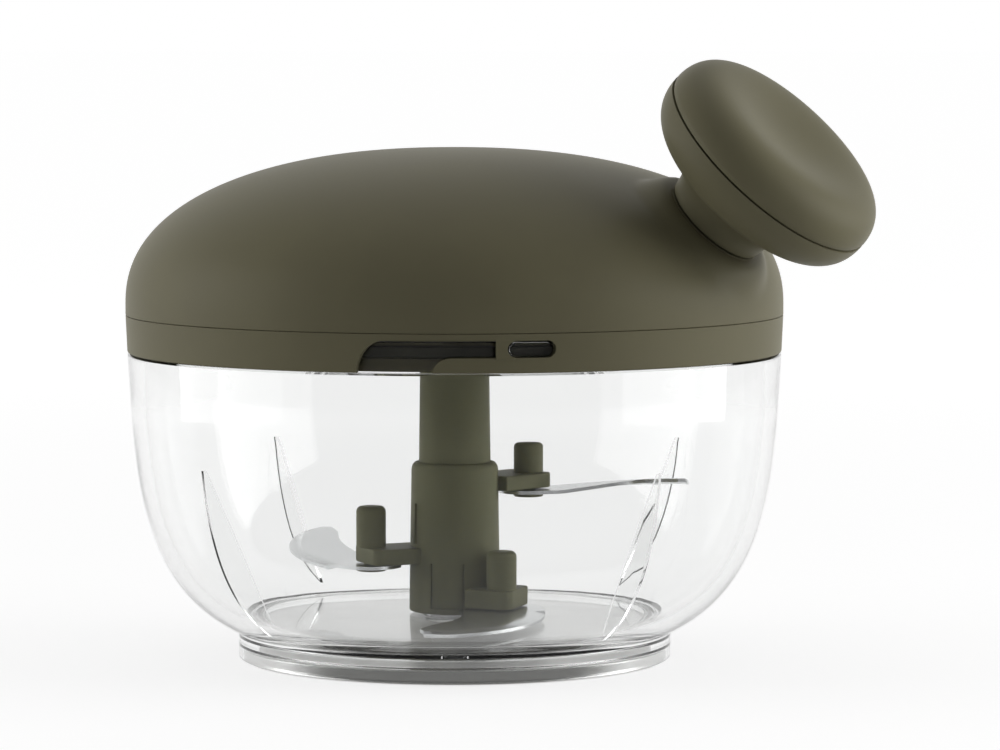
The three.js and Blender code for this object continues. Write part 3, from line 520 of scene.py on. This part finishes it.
pad_radius = 41.9
pad_thickness = 2.7
pad_shape = turned(
    [(0, 0), (pad_radius, 0, 0.5), (pad_radius, pad_thickness, 0.3), (0, pad_thickness)]
)
silicone, wire, shader = finish_of(
    "translucent_silicone", {"IOR": 1.41, "Transmission Weight": 0.35}
)
grain = noise(wire, 900, 3)
feed(mixed(wire, grain, colour(118, 118, 115), colour(130, 130, 127)), shader, "Base Color")
feed(0.4 + 0.12 * grain, shader, "Roughness")
feed(bump(wire, grain, 0.00001), shader, "Normal")
slant = wire.node("LayerWeight", None, {"Blend": 0.5}, "Facing").between(0.16, 0.46)
pale = wire.node("BsdfTranslucent", None, {"Color": (0.85, 0.85, 0.84, 1)})
glossy = wire.node("BsdfGlossy", None, {"Color": (0.9, 0.9, 0.89, 1), "Roughness": 0.35})
hazy = wire.node("MixShader", None, {0: 0.7, 1: pale, 2: glossy})
straight = Wire(silicone.node_tree, shader.outputs[0])
layered = wire.node("MixShader", None, {0: slant, 1: straight, 2: hazy})
feed(layered, silicone.node_tree.nodes["Material Output"], "Surface")
piece("foot_pad", pad_shape, silicone, "bowl", "clear_silicone", "non_slip_pad")


# Pivot pin: a turned stainless pin moulded upright into the floor, which the rotor's bush
# turns on.
def grained(name, settings, colours, roughness, grain, depth=0.0):
    """A finish whose colour, roughness and relief go from one value to another with one
    noise, which is given by its scale, its detail and its turn."""
    made, wire, shader = finish_of(name, settings)
    pattern = noise(wire, *grain)
    smoothest, roughest = roughness
    feed(mixed(wire, pattern, *colours), shader, "Base Color")
    feed(smoothest + (roughest - smoothest) * pattern, shader, "Roughness")
    if depth:
        feed(bump(wire, pattern, depth), shader, "Normal")
    return made


pin_radius = 2.5
pin_top = 19.5
pin_shape = turned(
    [
        (0, floor_underside),
        (pin_radius, floor_underside, 0.2),
        (pin_radius, pin_top, 0.8),
        (0, pin_top),
    ],
    48,
)
steel = grained(
    "turned_steel",
    {"Metallic": 1.0},
    (colour(176, 178, 180), colour(206, 207, 208)),
    (0.18, 0.34),
    ((60, 60, 5000), 2),
    0.00001,
)
piece("steel_pivot", pin_shape, steel, "bowl", "steel", "pivot_pin")


# Lid base: one olive moulding. Its skirt has the three bayonet tracks that take the bowl's
# lugs, its plug goes inside the neck, and its floor carries the mechanism.
def arc(centre, reach, first, last, steps):
    """Points on an ellipse from one angle to another, in degrees."""
    turns = [math.radians(first + (last - first) * i / steps) for i in range(steps + 1)]
    return [
        (centre[0] + reach[0] * math.cos(turn), centre[1] + reach[1] * math.sin(turn))
        for turn in turns
    ]


def sleeve(inner, outer, low, high, steps):
    """A plain tube, or a rod where the inner radius is 0, in millimetres."""
    return turned([(inner, low), (outer, low), (outer, high), (inner, high)], steps)


def set_out(shape, radius, degrees):
    """A shape moved away from the axis by a radius in millimetres."""
    turn = math.radians(degrees)
    place = (radius * 0.001 * math.cos(turn), radius * 0.001 * math.sin(turn), 0)
    return moved(shape, Matrix.Translation(place))


def assembled(shape, parts):
    """The shape with more closed parts in the same mesh, which stand on it."""
    for part in parts:
        mesh = bpy.data.meshes.new("part")
        part.to_mesh(mesh)
        part.free()
        shape.from_mesh(mesh)
        bpy.data.meshes.remove(mesh)
    return shape


def olive(name, first, second):
    """Satin moulded plastic with a fine grain and a slight mottle."""
    made, wire, shader = finish_of(name, {"IOR": 1.46, "Specular IOR Level": 0.1})
    mottle = noise(wire, 55, 3)
    grain = noise(wire, 2600, 2)
    feed(mixed(wire, mottle.between(0.3, 0.7), first, second), shader, "Base Color")
    feed(0.40 + 0.06 * mottle + 0.06 * grain, shader, "Roughness")
    feed(bump(wire, grain, 0.00001), shader, "Normal")
    return made


ring_bottom = 61.18
seam_height = 68.55
skirt_inner = 63.0
plug_radius = 60.6
plug_bottom = 61.25
plate_bottom = 61.8
plate_top = 64.0
plug_inner = 57.6
groove_floor = 59.4
groove_low, groove_high = 63.7, 66.3
shelf_bottom, shelf_top = 67.4, 69.4
lip_inner, lip_outer, lip_top = 60.9, 62.5, 70.95
collar_inner = 9.15
collar_outer = 12.15
collar_top = 68.0
ring_shape = turned(
    [
        (collar_inner, plate_bottom, 0.3),
        (59.0, plate_bottom),
        (59.2, plug_bottom),
        (60.4, plug_bottom),
        (plug_radius, plug_bottom + 0.2),
        (plug_radius, groove_low),
        (groove_floor, groove_low),
        (groove_floor, groove_high),
        (plug_radius, groove_high),
        (plug_radius, shelf_bottom, 0.3),
        (skirt_inner, shelf_bottom, 0.3),
        (skirt_inner, ring_bottom, 0.3),
        (64.66, ring_bottom, 0.4),
        (65.0, seam_height, 0.15),
        (lip_outer, seam_height),
        (lip_outer, lip_top),
        (lip_inner, lip_top),
        (lip_inner, shelf_top),
        (plug_inner, shelf_top),
        (plug_inner, plate_top, 0.6),
        (collar_outer, plate_top, 0.6),
        (collar_outer, collar_top),
        (collar_inner, collar_top),
    ],
    180,
)
track_floor = 64.05
track_top = 67.3
track_rise = track_top - ring_bottom
floor_rise = track_floor - ring_bottom
track_half = (track_top - track_floor) / 2
mouth_left, mouth_right = -77.5, -64.7
left_lean, right_lean = 5, 3.2
window_end, window_rounding = -45.53, 1.43
track_outline = [
    (mouth_left, ring_bottom - 1),
    *arc((mouth_left + left_lean, ring_bottom), (-left_lean, track_rise), 0, 90, 10),
    *arc((window_end, track_floor + track_half), (window_rounding, track_half), 90, -90, 12),
    *arc((mouth_right + right_lean, ring_bottom), (-right_lean, floor_rise), 90, 0, 10),
    (mouth_right, ring_bottom - 1),
]
tracks = [spun(wrapped(track_outline, neck_inner, 66.0), 120 * i) for i in range(3)]
ring_shape = combined(ring_shape, "DIFFERENCE", *tracks)
softened(ring_shape, 0.3, outside(64.35, 68.1), 3)

bar_left, bar_right = -54.25, -51.0
bar_low, bar_high = 63.75, 67.6
bar_outline = [
    (bar_left, bar_high),
    (bar_left, bar_low),
    (bar_right, bar_low),
    *arc((bar_right, (bar_low + bar_high) / 2), (1.3, 1.48), -90, -270, 12),
    (bar_right, bar_high),
]
bars = [
    softened(spun(wrapped(bar_outline, 64.6, 64.95, 20), 120 * i), 0.12) for i in range(3)
]
screw_hole = 1.8
post_radius, post_low, post_high = 3.4, 63.9, 89.2
post_circle = 30
posts = [
    set_out(sleeve(screw_hole, post_radius, post_low, post_high, 32), post_circle, 30 + 120 * i)
    for i in range(3)
]
ring_shape = assembled(ring_shape, bars + posts)
olive_plastic = olive("olive_plastic", colour(112, 108, 86), colour(115, 111, 88))
piece("ring_and_plug", ring_shape, olive_plastic, "lid", "olive_plastic", "lid_base")

# Seal: a grey silicone ring that is stretched into the plug's groove. It grips the inside
# of the bowl's neck.
seal_inner, seal_outer = 59.7, 60.9
seal_low, seal_high = 64.0, 66.0
seal_shape = turned(
    [
        (seal_inner, seal_low, 0.2),
        (seal_outer, seal_low, 0.4),
        (seal_outer, seal_high, 0.4),
        (seal_inner, seal_high, 0.2),
    ]
)
seal_rubber = grained(
    "seal_rubber",
    {"IOR": 1.41},
    (colour(72, 71, 60), colour(82, 81, 68)),
    (0.6, 0.75),
    (700, 3),
)
piece("seal_ring", seal_shape, seal_rubber, "seal", "grey_silicone", "lid_seal")


# Dome cover: an olive shell moulded with a round seat for the knob on its slope, and
# three bosses inside that screws from below pull it down by.
def quarter(centre, reach, base, rise, exponent, steps):
    """A quarter of a rounded curve from (centre + reach, base) to (centre, base + rise)."""
    points = []
    for i in range(steps + 1):
        turn = math.pi / 2 * i / steps
        out = 0 if i == steps else math.cos(turn) ** (2 / exponent)
        up = math.sin(turn) ** (2 / exponent)
        points.append((centre + reach * out, base + rise * up))
    return points


dome_foot = 68.62
dome_base = 70.69
dome_radius = 65
dome_rise = 30.7
dome_wall = 2.2
dome_curve = 2.26
inner_radius = dome_radius - dome_wall
dome_shape = turned(
    [
        *reversed(quarter(0, inner_radius, dome_base, dome_rise - dome_wall, dome_curve, 24)),
        (inner_radius, dome_foot),
        (dome_radius, dome_foot, 0.2),
        *quarter(0, dome_radius, dome_base, dome_rise, dome_curve, 72),
    ],
    300,
)
knob_slant = 45
seat = Vector((0.05713, 0, 0.08794))
knob_axis = Matrix.Translation(seat) @ Matrix.Rotation(math.radians(knob_slant), 4, "Y")
to_seat = knob_axis.inverted()
outer_skin = 0.97
blend_reach = 0.0165
blend_width = 0.0055
seat_level = -0.0001
for vert in dome_shape.verts:
    curve = (vert.co.xy.length * 1000 / dome_radius) ** dome_curve
    curve += (max(0.0, vert.co.z * 1000 - dome_base) / dome_rise) ** dome_curve
    near = to_seat @ vert.co
    if curve > outer_skin and near.xy.length < blend_reach:
        t = min(1.0, (blend_reach - near.xy.length) / blend_width)
        near.z += (seat_level - near.z) * t * t * (3 - 2 * t)
        vert.co = knob_axis @ near
seat_radius = 10.35
seat_depth = 2.6
seat_boss_radius = 6
seat_bore_radius = 3.4
seat_pad = turned(
    [(0, -seat_depth), (seat_radius, -seat_depth), (seat_radius, 0, 0.08), (0, 0)], 96
)
seat_boss = moved(sleeve(0, seat_boss_radius, -7.2, -1, 64), knob_axis)
seat_bore = moved(sleeve(0, seat_bore_radius, -8.2, 1, 64), knob_axis)
moved(seat_pad, knob_axis)
dome_shape = combined(dome_shape, "UNION", seat_pad, seat_boss)
dome_shape = combined(dome_shape, "DIFFERENCE", seat_bore)
boss_radius, boss_low, boss_high = 3.6, 64.3, 88.5
boss_circle = 48
boss_turns = [90 + 120 * i for i in range(3)]
bosses = [
    set_out(sleeve(screw_hole, boss_radius, boss_low, boss_high, 32), boss_circle, degrees)
    for degrees in boss_turns
]
dome_shape = assembled(dome_shape, bosses)
piece("dome_shell", dome_shape, olive_plastic, "lid", "olive_plastic", "dome_cover")


# Dome screws: three steel pan-head screws with a cross recess. They go up through the
# floor plate into the dome's bosses.
def block(low, high):
    """A box between two corners, in millimetres."""
    low, high = Vector(low) * 0.001, Vector(high) * 0.001
    shape = bmesh.new()
    bmesh.ops.create_cube(shape, size=1)
    bmesh.ops.scale(shape, vec=high - low, verts=shape.verts)
    return moved(shape, Matrix.Translation((low + high) / 2))


head_radius = 2.7
head_top = 62.8
shank_radius = 1.5
shank_top = 70.5
cross_reach = 1.4
cross_half = 0.3
cross_depth = 0.55
for i, boss_turn in enumerate(boss_turns):
    screw = turned(
        [
            (0, plate_bottom),
            (head_radius, plate_bottom, 0.5),
            (head_radius, head_top),
            (shank_radius, head_top),
            (shank_radius, shank_top, 0.4),
            (0, shank_top),
        ],
        40,
    )
    recess = [
        block(
            (-cross_reach, -cross_half, plate_bottom - cross_depth),
            (cross_reach, cross_half, plate_bottom + cross_depth),
        )
        for _ in range(2)
    ]
    screw = combined(screw, "DIFFERENCE", recess[0], spun(recess[1], 90))
    name = f"dome_screw_{i + 1}"
    set_out(screw, boss_circle, boss_turn)
    piece(f"cross_screw_{i + 1}", screw, steel, "lid", "steel", name)

# Eyelet: a polished steel tube with a rolled flange, pushed up into the knob's seat from
# inside the dome. The cord runs through it.
cord_hole = 1.5
eyelet_radius = 3.1
eyelet_flange = 5
eyelet_top = -0.3
eyelet_shoulder = -7.5
eyelet_bottom = -8.5
eyelet_shape = turned(
    [
        (cord_hole, eyelet_top, 0.3),
        (eyelet_radius, eyelet_top, 0.4),
        (eyelet_radius, eyelet_shoulder),
        (eyelet_flange, eyelet_shoulder, 0.3),
        (eyelet_flange, eyelet_bottom, 0.3),
        (2.3, eyelet_bottom),
        (cord_hole, eyelet_shoulder),
    ],
    64,
)
piece("steel_eyelet", moved(eyelet_shape, knob_axis), steel, "lid", "steel", "cord_eyelet")

# Bearing bush: a white plastic bush with a flange, pressed into the collar of the floor
# plate. The drive tube turns in it.
bush_inner, bush_outer = 7.15, 8.85
bush_flange_radius = 11.5
bush_flange_low, bush_flange_high = 68.3, 69.3
bush_shape = turned(
    [
        (bush_inner, plate_bottom, 0.2),
        (bush_outer, plate_bottom, 0.3),
        (bush_outer, bush_flange_low),
        (bush_flange_radius, bush_flange_low, 0.2),
        (bush_flange_radius, bush_flange_high, 0.2),
        (bush_inner, bush_flange_high, 0.2),
    ],
    64,
)
white_plastic = grained(
    "white_plastic",
    {"IOR": 1.48},
    (colour(222, 221, 214), colour(234, 233, 227)),
    (0.38, 0.5),
    (1500, 3),
    0.00002,
)
piece("white_bush", bush_shape, white_plastic, "lid", "white_plastic", "bearing_bush")

# Drive tube: one olive moulding from the clutch down to the hub, with a hexagon at each
# end. It hangs by its flange on the bearing bush.
tube_radius = 6.85
tube_foot_radius = 7.1
tube_bottom = 36.7
hub_top = 39.3
flange_radius = 12.5
flange_bottom = 69.6
flange_top = 71.2
axle_bore = 2.3
axle_bore_floor = 62.9
tube_shape = turned(
    [
        (0, tube_bottom),
        (tube_foot_radius, tube_bottom),
        (tube_foot_radius, hub_top),
        (tube_radius, 61.4),
        (tube_radius, flange_bottom),
        (flange_radius, flange_bottom, 0.3),
        (flange_radius, flange_top, 0.3),
        (axle_bore, flange_top),
        (axle_bore, axle_bore_floor),
        (0, axle_bore_floor),
    ],
    96,
)
hub_hexagon_low, hub_hexagon_high = 25, 38
hub_hexagon = turned(
    [(0, hub_hexagon_low), (5, hub_hexagon_low, 0.5), (5, hub_hexagon_high), (0, hub_hexagon_high)],
    6,
)
dog_hexagon_low, dog_hexagon_high = 70.9, 78.6
dog_hexagon = turned(
    [
        (2.8, dog_hexagon_low),
        (5.6, dog_hexagon_low),
        (5.6, dog_hexagon_high, 0.4),
        (2.8, dog_hexagon_high),
    ],
    6,
)
tube_shape = assembled(tube_shape, [spun(hub_hexagon, 30), spun(dog_hexagon, 30)])
# The rotor is the lid's olive plastic, painted lighter: painted light that stands in for the lamp
# light the clear bowl keeps off the tube, hub and pegs.
olive_with_painted_light = olive("olive_plastic_painted_lighter", colour(140, 139, 108), colour(144, 143, 111))
piece("olive_tube", tube_shape, olive_with_painted_light, "rotor", "olive_plastic", "drive_tube")


# Mechanism inside the dome: clutch dog, cord reel, return spring, cover, screws and axle.
# The dome hides them, so their solids stay, in real finishes.
def refinish(node, finish):
    """Gives a CAD node that stays another material."""
    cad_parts[node].data.materials.clear()
    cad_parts[node].data.materials.append(finish)


spring_steel = grained(
    "spring_steel",
    {"Metallic": 1.0},
    (colour(128, 130, 134), colour(170, 170, 172)),
    (0.28, 0.48),
    (380, 3),
)
dark_olive = olive("dark_olive_plastic", colour(88, 86, 70), colour(92, 90, 73))
refinish("clutch_dog", white_plastic)
refinish("reel", white_plastic)
refinish("return_spring", spring_steel)
refinish("spring_cover", dark_olive)
for name in ("cover_screw_1", "cover_screw_2", "cover_screw_3", "reel_axle"):
    refinish(name, steel)

# Clutch spring: two open turns of steel wire round the tube's hexagon. It pushes the dog
# up, and closes up as the dog slides down.
coil_turns = 2
coil_steps = 60 * coil_turns
coil_radius = 8.8
coil_wire = 0.37
coil_low = 71.5
coil_high = 74.88
coil_pitch = (coil_high - coil_low - 2 * coil_wire) / coil_steps
coil_shape = bmesh.new()
bmesh.ops.create_circle(coil_shape, cap_ends=True, segments=10, radius=coil_wire * 0.001)
upright = Matrix.Rotation(math.radians(90), 4, "X") @ Matrix.Rotation(math.radians(-90), 4, "Z")
start = Matrix.Translation((coil_radius * 0.001, 0, (coil_low + coil_wire) * 0.001))
moved(coil_shape, start @ upright)
bmesh.ops.spin(
    coil_shape,
    geom=coil_shape.faces[:],
    cent=(0, 0, 0),
    axis=(0, 0, 1),
    dvec=(0, 0, coil_pitch * 0.001),
    angle=2 * math.pi * coil_turns,
    steps=coil_steps,
)
bmesh.ops.recalc_face_normals(coil_shape, faces=coil_shape.faces)
coil = piece("steel_coil", coil_shape, spring_steel, None, "steel", "clutch_spring", sharpest=60)
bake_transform(coil)

# Pull cord: a 1.8 mm braided polyester cord. It is wound on the reel, runs to the eyelet,
# and goes through the knob to a knot. The length outside grows as the knob is pulled.
cord_radius = 0.0009
strands = 4
strand_rise = 2 * math.pi / 0.0012
cord_finish, wire, shader = finish_of("braided_cord", {"Sheen Weight": 0.2})
from_seat = wire.node(
    "VectorMath",
    {"operation": "SUBTRACT"},
    {0: wire.node("TexCoord", output="Object"), 1: seat},
)
along_axis = wire.node(
    "Mapping", None, {"Vector": from_seat, "Rotation": (0, math.radians(-knob_slant), 0)}
)
parts = [wire.node("SeparateXYZ", None, {0: along_axis}, axis) for axis in ("X", "Y", "Z")]
turn = wire.math("ARCTAN2", parts[1], parts[0])
first_strands = wire.math("SINE", strands * turn + strand_rise * parts[2])
second_strands = wire.math("SINE", strands * turn - strand_rise * parts[2])
braid = wire.math("MAXIMUM", first_strands, second_strands)
# The colour is darker in the gaps between the strands: painted shade in the grooves of the braid,
# on top of its bump.
braid_with_painted_shade = mixed(
    wire, braid.between(-0.6, 0.9), colour(150, 149, 142), colour(226, 225, 218)
)
feed(braid_with_painted_shade, shader, "Base Color")
feed(0.7 + 0.15 * braid.between(-1, 1), shader, "Roughness")
feed(bump(wire, braid, 0.0001), shader, "Normal")
lead_length = 0.01715
lead_middle = 0.000075
lead_slices = 24
lead_shape = bmesh.new()
bmesh.ops.create_cone(
    lead_shape,
    cap_ends=True,
    segments=24,
    radius1=cord_radius,
    radius2=cord_radius,
    depth=lead_length,
)
for i in range(1, lead_slices):
    bmesh.ops.bisect_plane(
        lead_shape,
        geom=lead_shape.verts[:] + lead_shape.edges[:] + lead_shape.faces[:],
        plane_co=(0, 0, lead_length * (i / lead_slices - 0.5)),
        plane_no=(0, 0, 1),
    )
moved(lead_shape, knob_axis @ Matrix.Translation((0, 0, lead_middle)))
lead = piece("cord_through_knob", lead_shape, cord_finish, None, "cord", "pull_cord_lead")
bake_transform(lead)
for name in ("cord_winding", "pull_cord_run", "cord_knot"):
    refinish(name, cord_finish)

# Knob: a hollow mushroom in two olive mouldings. The back has the neck that stands on the
# dome's seat, and the dished front snaps into it along a fine seam.
neck_width = 10.3
back_seam = 16.2
knob_back_shape = turned(
    [
        (cord_hole, 0.3, 0.3),
        (neck_width, 0.3, 0.25),
        (10.5, 1.4),
        (10.7, 2.6),
        (11.1, 3.8),
        (11.8, 4.85),
        (12.8, 5.75),
        (14.1, 6.4),
        (15.7, 6.9),
        *[p for p in reversed(quarter(neck_width, 13.6, back_seam, -9.6, 2.33, 30)) if p[0] > 17.2],
        (23.7, back_seam),
        (21.4, back_seam),
        *quarter(neck_width, 11.1, 13.9, -5.1, 2, 10),
        (cord_hole, 8.95),
    ],
    144,
)
moved(knob_back_shape, knob_axis)
piece("knob_shell_back", knob_back_shape, olive_plastic, "knob", "olive_plastic", "knob_back")
cap_seam = 16.5
cap_wall = 2.2
rim_radius = 16
rim_level = 24.0
dish_depth = 1.9
dish = []
for i in range(14):
    share = 1 - i / 13
    dish.append((rim_radius * share, rim_level - dish_depth * (1 - share**2) ** 2))
knob_cap_shape = turned(
    [
        *reversed([(radius, height - cap_wall) for radius, height in dish[2:]]),
        (16.7, 21.8),
        (18.9, 19.2),
        (18.9, 14.5),
        (21.1, 14.5, 0.3),
        (21.1, cap_seam),
        (23.65, cap_seam),
        *quarter(rim_radius, 7.88, cap_seam, 7.48, 2.27, 24)[1:-1],
        *dish,
    ],
    144,
)
moved(knob_cap_shape, knob_axis)
piece("knob_shell_front", knob_cap_shape, olive_plastic, "knob", "olive_plastic", "knob_cap")

# Hub: an olive moulding that hangs on the tube's hexagon, with three arms that step round
# it at different heights and carry the blades.
hub_bottom = 8.1
hub_foot_radius = 9.1
hub_top_radius = 8.57
hub_bore = 5.3
web_bottom = 19.9
web_top = 24.7
cup_radius = 7.4
hub_shape = turned(
    [
        (0, web_bottom),
        (hub_bore, web_bottom),
        (hub_bore, hub_bottom, 0.3),
        (hub_foot_radius, hub_bottom, 0.5),
        (hub_top_radius, hub_top, 1.6),
        (cup_radius, hub_top, 0.3),
        (cup_radius, tube_bottom),
        (hub_bore, tube_bottom),
        (hub_bore, web_top),
        (0, web_top),
    ],
    96,
)
arms = {
    # turn in degrees, height of the top over the hub's foot, thickness and reach
    "low": (7, 6.2, 4.2, 15.2),
    "mid": (234, 14.3, 3.3, 18.2),
    "high": (75, 28.25, 3.0, 19.4),
}
arm_start, arm_left, arm_right = 5.6, -8.9, 2.4
arm_shapes = []
for degrees, top, thickness, reach in arms.values():
    level = hub_bottom + top
    arm = block((arm_start, arm_left, level - thickness), (reach, arm_right, level))
    outer_corners = [
        edge
        for edge in arm.edges
        if abs(edge.verts[0].co.z - edge.verts[1].co.z) > 0.001
        and edge.verts[0].co.x > 0.01
    ]
    bmesh.ops.bevel(
        arm, geom=outer_corners, offset=0.0018, segments=6, profile=0.5, affect="EDGES", material=-1
    )
    softened(arm, 0.35, segments=3)
    arm_shapes.append(spun(arm, degrees))
hub_shape = combined(hub_shape, "UNION", *arm_shapes)
tab_left, tab_right = 267, 311
tab_low, tab_high = 9.55, 19.4
slit_degrees, slit_height = 2.9, 0.45
tab_slit = wrapped(
    [
        (tab_left, tab_high),
        (tab_left + slit_degrees, tab_high),
        (tab_left + slit_degrees, tab_low + slit_height),
        (tab_right - slit_degrees, tab_low + slit_height),
        (tab_right - slit_degrees, tab_high),
        (tab_right, tab_high),
        (tab_right, tab_low),
        (tab_left, tab_low),
    ],
    8.45,
    9.8,
)
side_slot = wrapped([(234.5, 23.2), (241.5, 23.2), (241.5, 31.2), (234.5, 31.2)], 8.3, 9.8)
hub_shape = combined(hub_shape, "DIFFERENCE", tab_slit, side_slot)
# The hub takes the olive with painted light, lighter than the lid's.
piece("olive_hub", hub_shape, olive_with_painted_light, "rotor", "olive_plastic", "blade_hub")

# Pivot bush: a white plastic bush pressed into the hub's foot. It turns on the steel pin
# in the bowl's floor.
sleeve_inner, sleeve_outer, sleeve_top = 2.8, 5.0, 19.6
pivot_bush_shape = turned(
    [
        (sleeve_inner, hub_bottom, 0.2),
        (sleeve_outer, hub_bottom, 0.2),
        (sleeve_outer, sleeve_top, 0.2),
        (sleeve_inner, sleeve_top, 0.2),
    ],
    48,
)
piece("pivot_sleeve", pivot_bush_shape, white_plastic, "rotor", "white_plastic", "pivot_bush")

# Blades and pegs: three bowed blades stamped from 0.7 mm stainless sheet and ground along
# the outer edge. Each is held under its arm by an olive peg that is snapped through it.
sheet = 0.7
blade_gap = 0.3
peg_side = 4.9
peg_radius = 2.95
peg_stem = 1.5
hub_room = 9.4
# shares of a blade's length or of its width, and the depth of its ground edge
tip_share = 0.35
heel_share = 0.2
narrows_from = 0.86
lifts_from = 0.12
edge_from = 0.1
edge_side = 0.72
edge_depth = 0.55
blades = {
    "low": {
        "sweep": 78,
        "tip_radius": 37,
        "root_width": 17,
        "swell": 2,
        "tip_width": 6,
        "bulge": 12,
        "lift": 0.1,
    },
    "mid": {
        "sweep": 75,
        "tip_radius": 43,
        "root_width": 12,
        "swell": 2,
        "tip_width": 7,
        "bulge": 12,
        "lift": 3.8,
    },
    "high": {
        "sweep": 58,
        "tip_radius": 46.5,
        "root_width": 13,
        "swell": 0,
        "tip_width": 5,
        "bulge": 20,
        "lift": 3.6,
    },
}
pegs = {
    # place out along the arm, height over it, and thickness of the head under the blade
    "low": (11.9, 7.9, 0.45),
    "mid": (16, 8.2, 0.45),
    "high": (16.2, 6.4, 0.6),
}


def ground_sheet(root, top, sweep, tip_radius, root_width, swell, tip_width, bulge, lift):
    """A blade with a round heel at the root and a narrow tip, bowed sideways by a bulge and
    lifted towards the tip. Its outer edge is ground down."""
    tip_turn = math.radians(-sweep)
    tip = Vector((math.cos(tip_turn), math.sin(tip_turn)))
    tip *= tip_radius - tip_width * tip_share / 2
    along = (tip - root).normalized()
    middle = root.lerp(tip, 0.5) + Vector((-along.y, along.x)) * bulge
    shape = bmesh.new()
    bmesh.ops.create_grid(shape, x_segments=40, y_segments=8, size=1)
    for vert in shape.verts:
        share = (vert.co.x + 1) / 2 * (1 + heel_share) - heel_share
        side = vert.co.y
        t = max(0.0, share)
        at = root * (1 - t) ** 2 + middle * 2 * t * (1 - t) + tip * t * t
        forward = ((middle - root) * (1 - t) + (tip - middle) * t).normalized()
        width = root_width + (tip_width - root_width) * t + swell * math.sin(math.pi * t)
        half = width / 2
        if share < 0:
            back = -share / heel_share
            at = at - forward * half * back
            half *= math.sqrt(max(0.0, 1 - back * back))
        if t > narrows_from:
            narrowing = (1 - tip_share) * ((t - narrows_from) / (1 - narrows_from)) ** 2
            half *= 1 - narrowing
        ground = 0.0
        if t > edge_from:
            ground = edge_depth * max(0.0, (side - edge_side) / (1 - edge_side))
        rise = lift * max(0.0, (t - lifts_from) / (1 - lifts_from)) - ground
        place = at + Vector((-forward.y, forward.x)) * half * side
        vert.co = (place.x * 0.001, place.y * 0.001, (top + rise) * 0.001)
    bmesh.ops.remove_doubles(shape, verts=shape.verts, dist=0.00001)
    grown = bmesh.ops.extrude_face_region(shape, geom=shape.faces[:])["geom"]
    underside = [part for part in grown if isinstance(part, bmesh.types.BMVert)]
    bmesh.ops.translate(shape, vec=(0, 0, -sheet * 0.001), verts=underside)
    bmesh.ops.recalc_face_normals(shape, faces=shape.faces)
    return shape


for name, (degrees, top, thickness, _) in arms.items():
    peg_out, peg_height, peg_head = pegs[name]
    arm_level = hub_bottom + top
    sheet_top = arm_level - thickness - blade_gap
    root = Vector((peg_out, -peg_side))
    blade_shape = ground_sheet(root, sheet_top, **blades[name])
    blade_shape = combined(blade_shape, "DIFFERENCE", sleeve(0, hub_room, 7, 42, 96))
    brushing = math.radians(-degrees + blades[name]["sweep"] * 0.7)
    blade_steel = grained(
        f"blade_steel_{name}",
        {"Metallic": 1.0},
        (colour(196, 198, 199), colour(222, 223, 223)),
        (0.2, 0.3),
        ((90, 2600, 400), 3, brushing),
        0.000002,
    )
    spun(blade_shape, degrees)
    piece(
        f"ground_blade_{name}", blade_shape, blade_steel, "rotor", "blade_steel", f"blade_{name}"
    )
    peg_head_top = sheet_top - sheet - blade_gap
    peg_bottom = peg_head_top - peg_head
    peg_top = arm_level + peg_height
    peg = turned(
        [
            (0, peg_bottom),
            (peg_radius, peg_bottom, 0.2),
            (peg_radius, peg_head_top),
            (peg_stem, peg_head_top),
            (peg_stem, arm_level),
            (peg_radius, arm_level),
            (peg_radius, peg_top, 1.1),
            (0, peg_top),
        ],
        48,
    )
    moved(peg, Matrix.Translation((peg_out * 0.001, -peg_side * 0.001, 0)))
    spun(peg, degrees)
    # The pegs take the olive with painted light, lighter than the lid's.
    piece(f"peg_{name}", peg, olive_with_painted_light, "rotor", "olive_plastic", f"blade_pin_{name}")
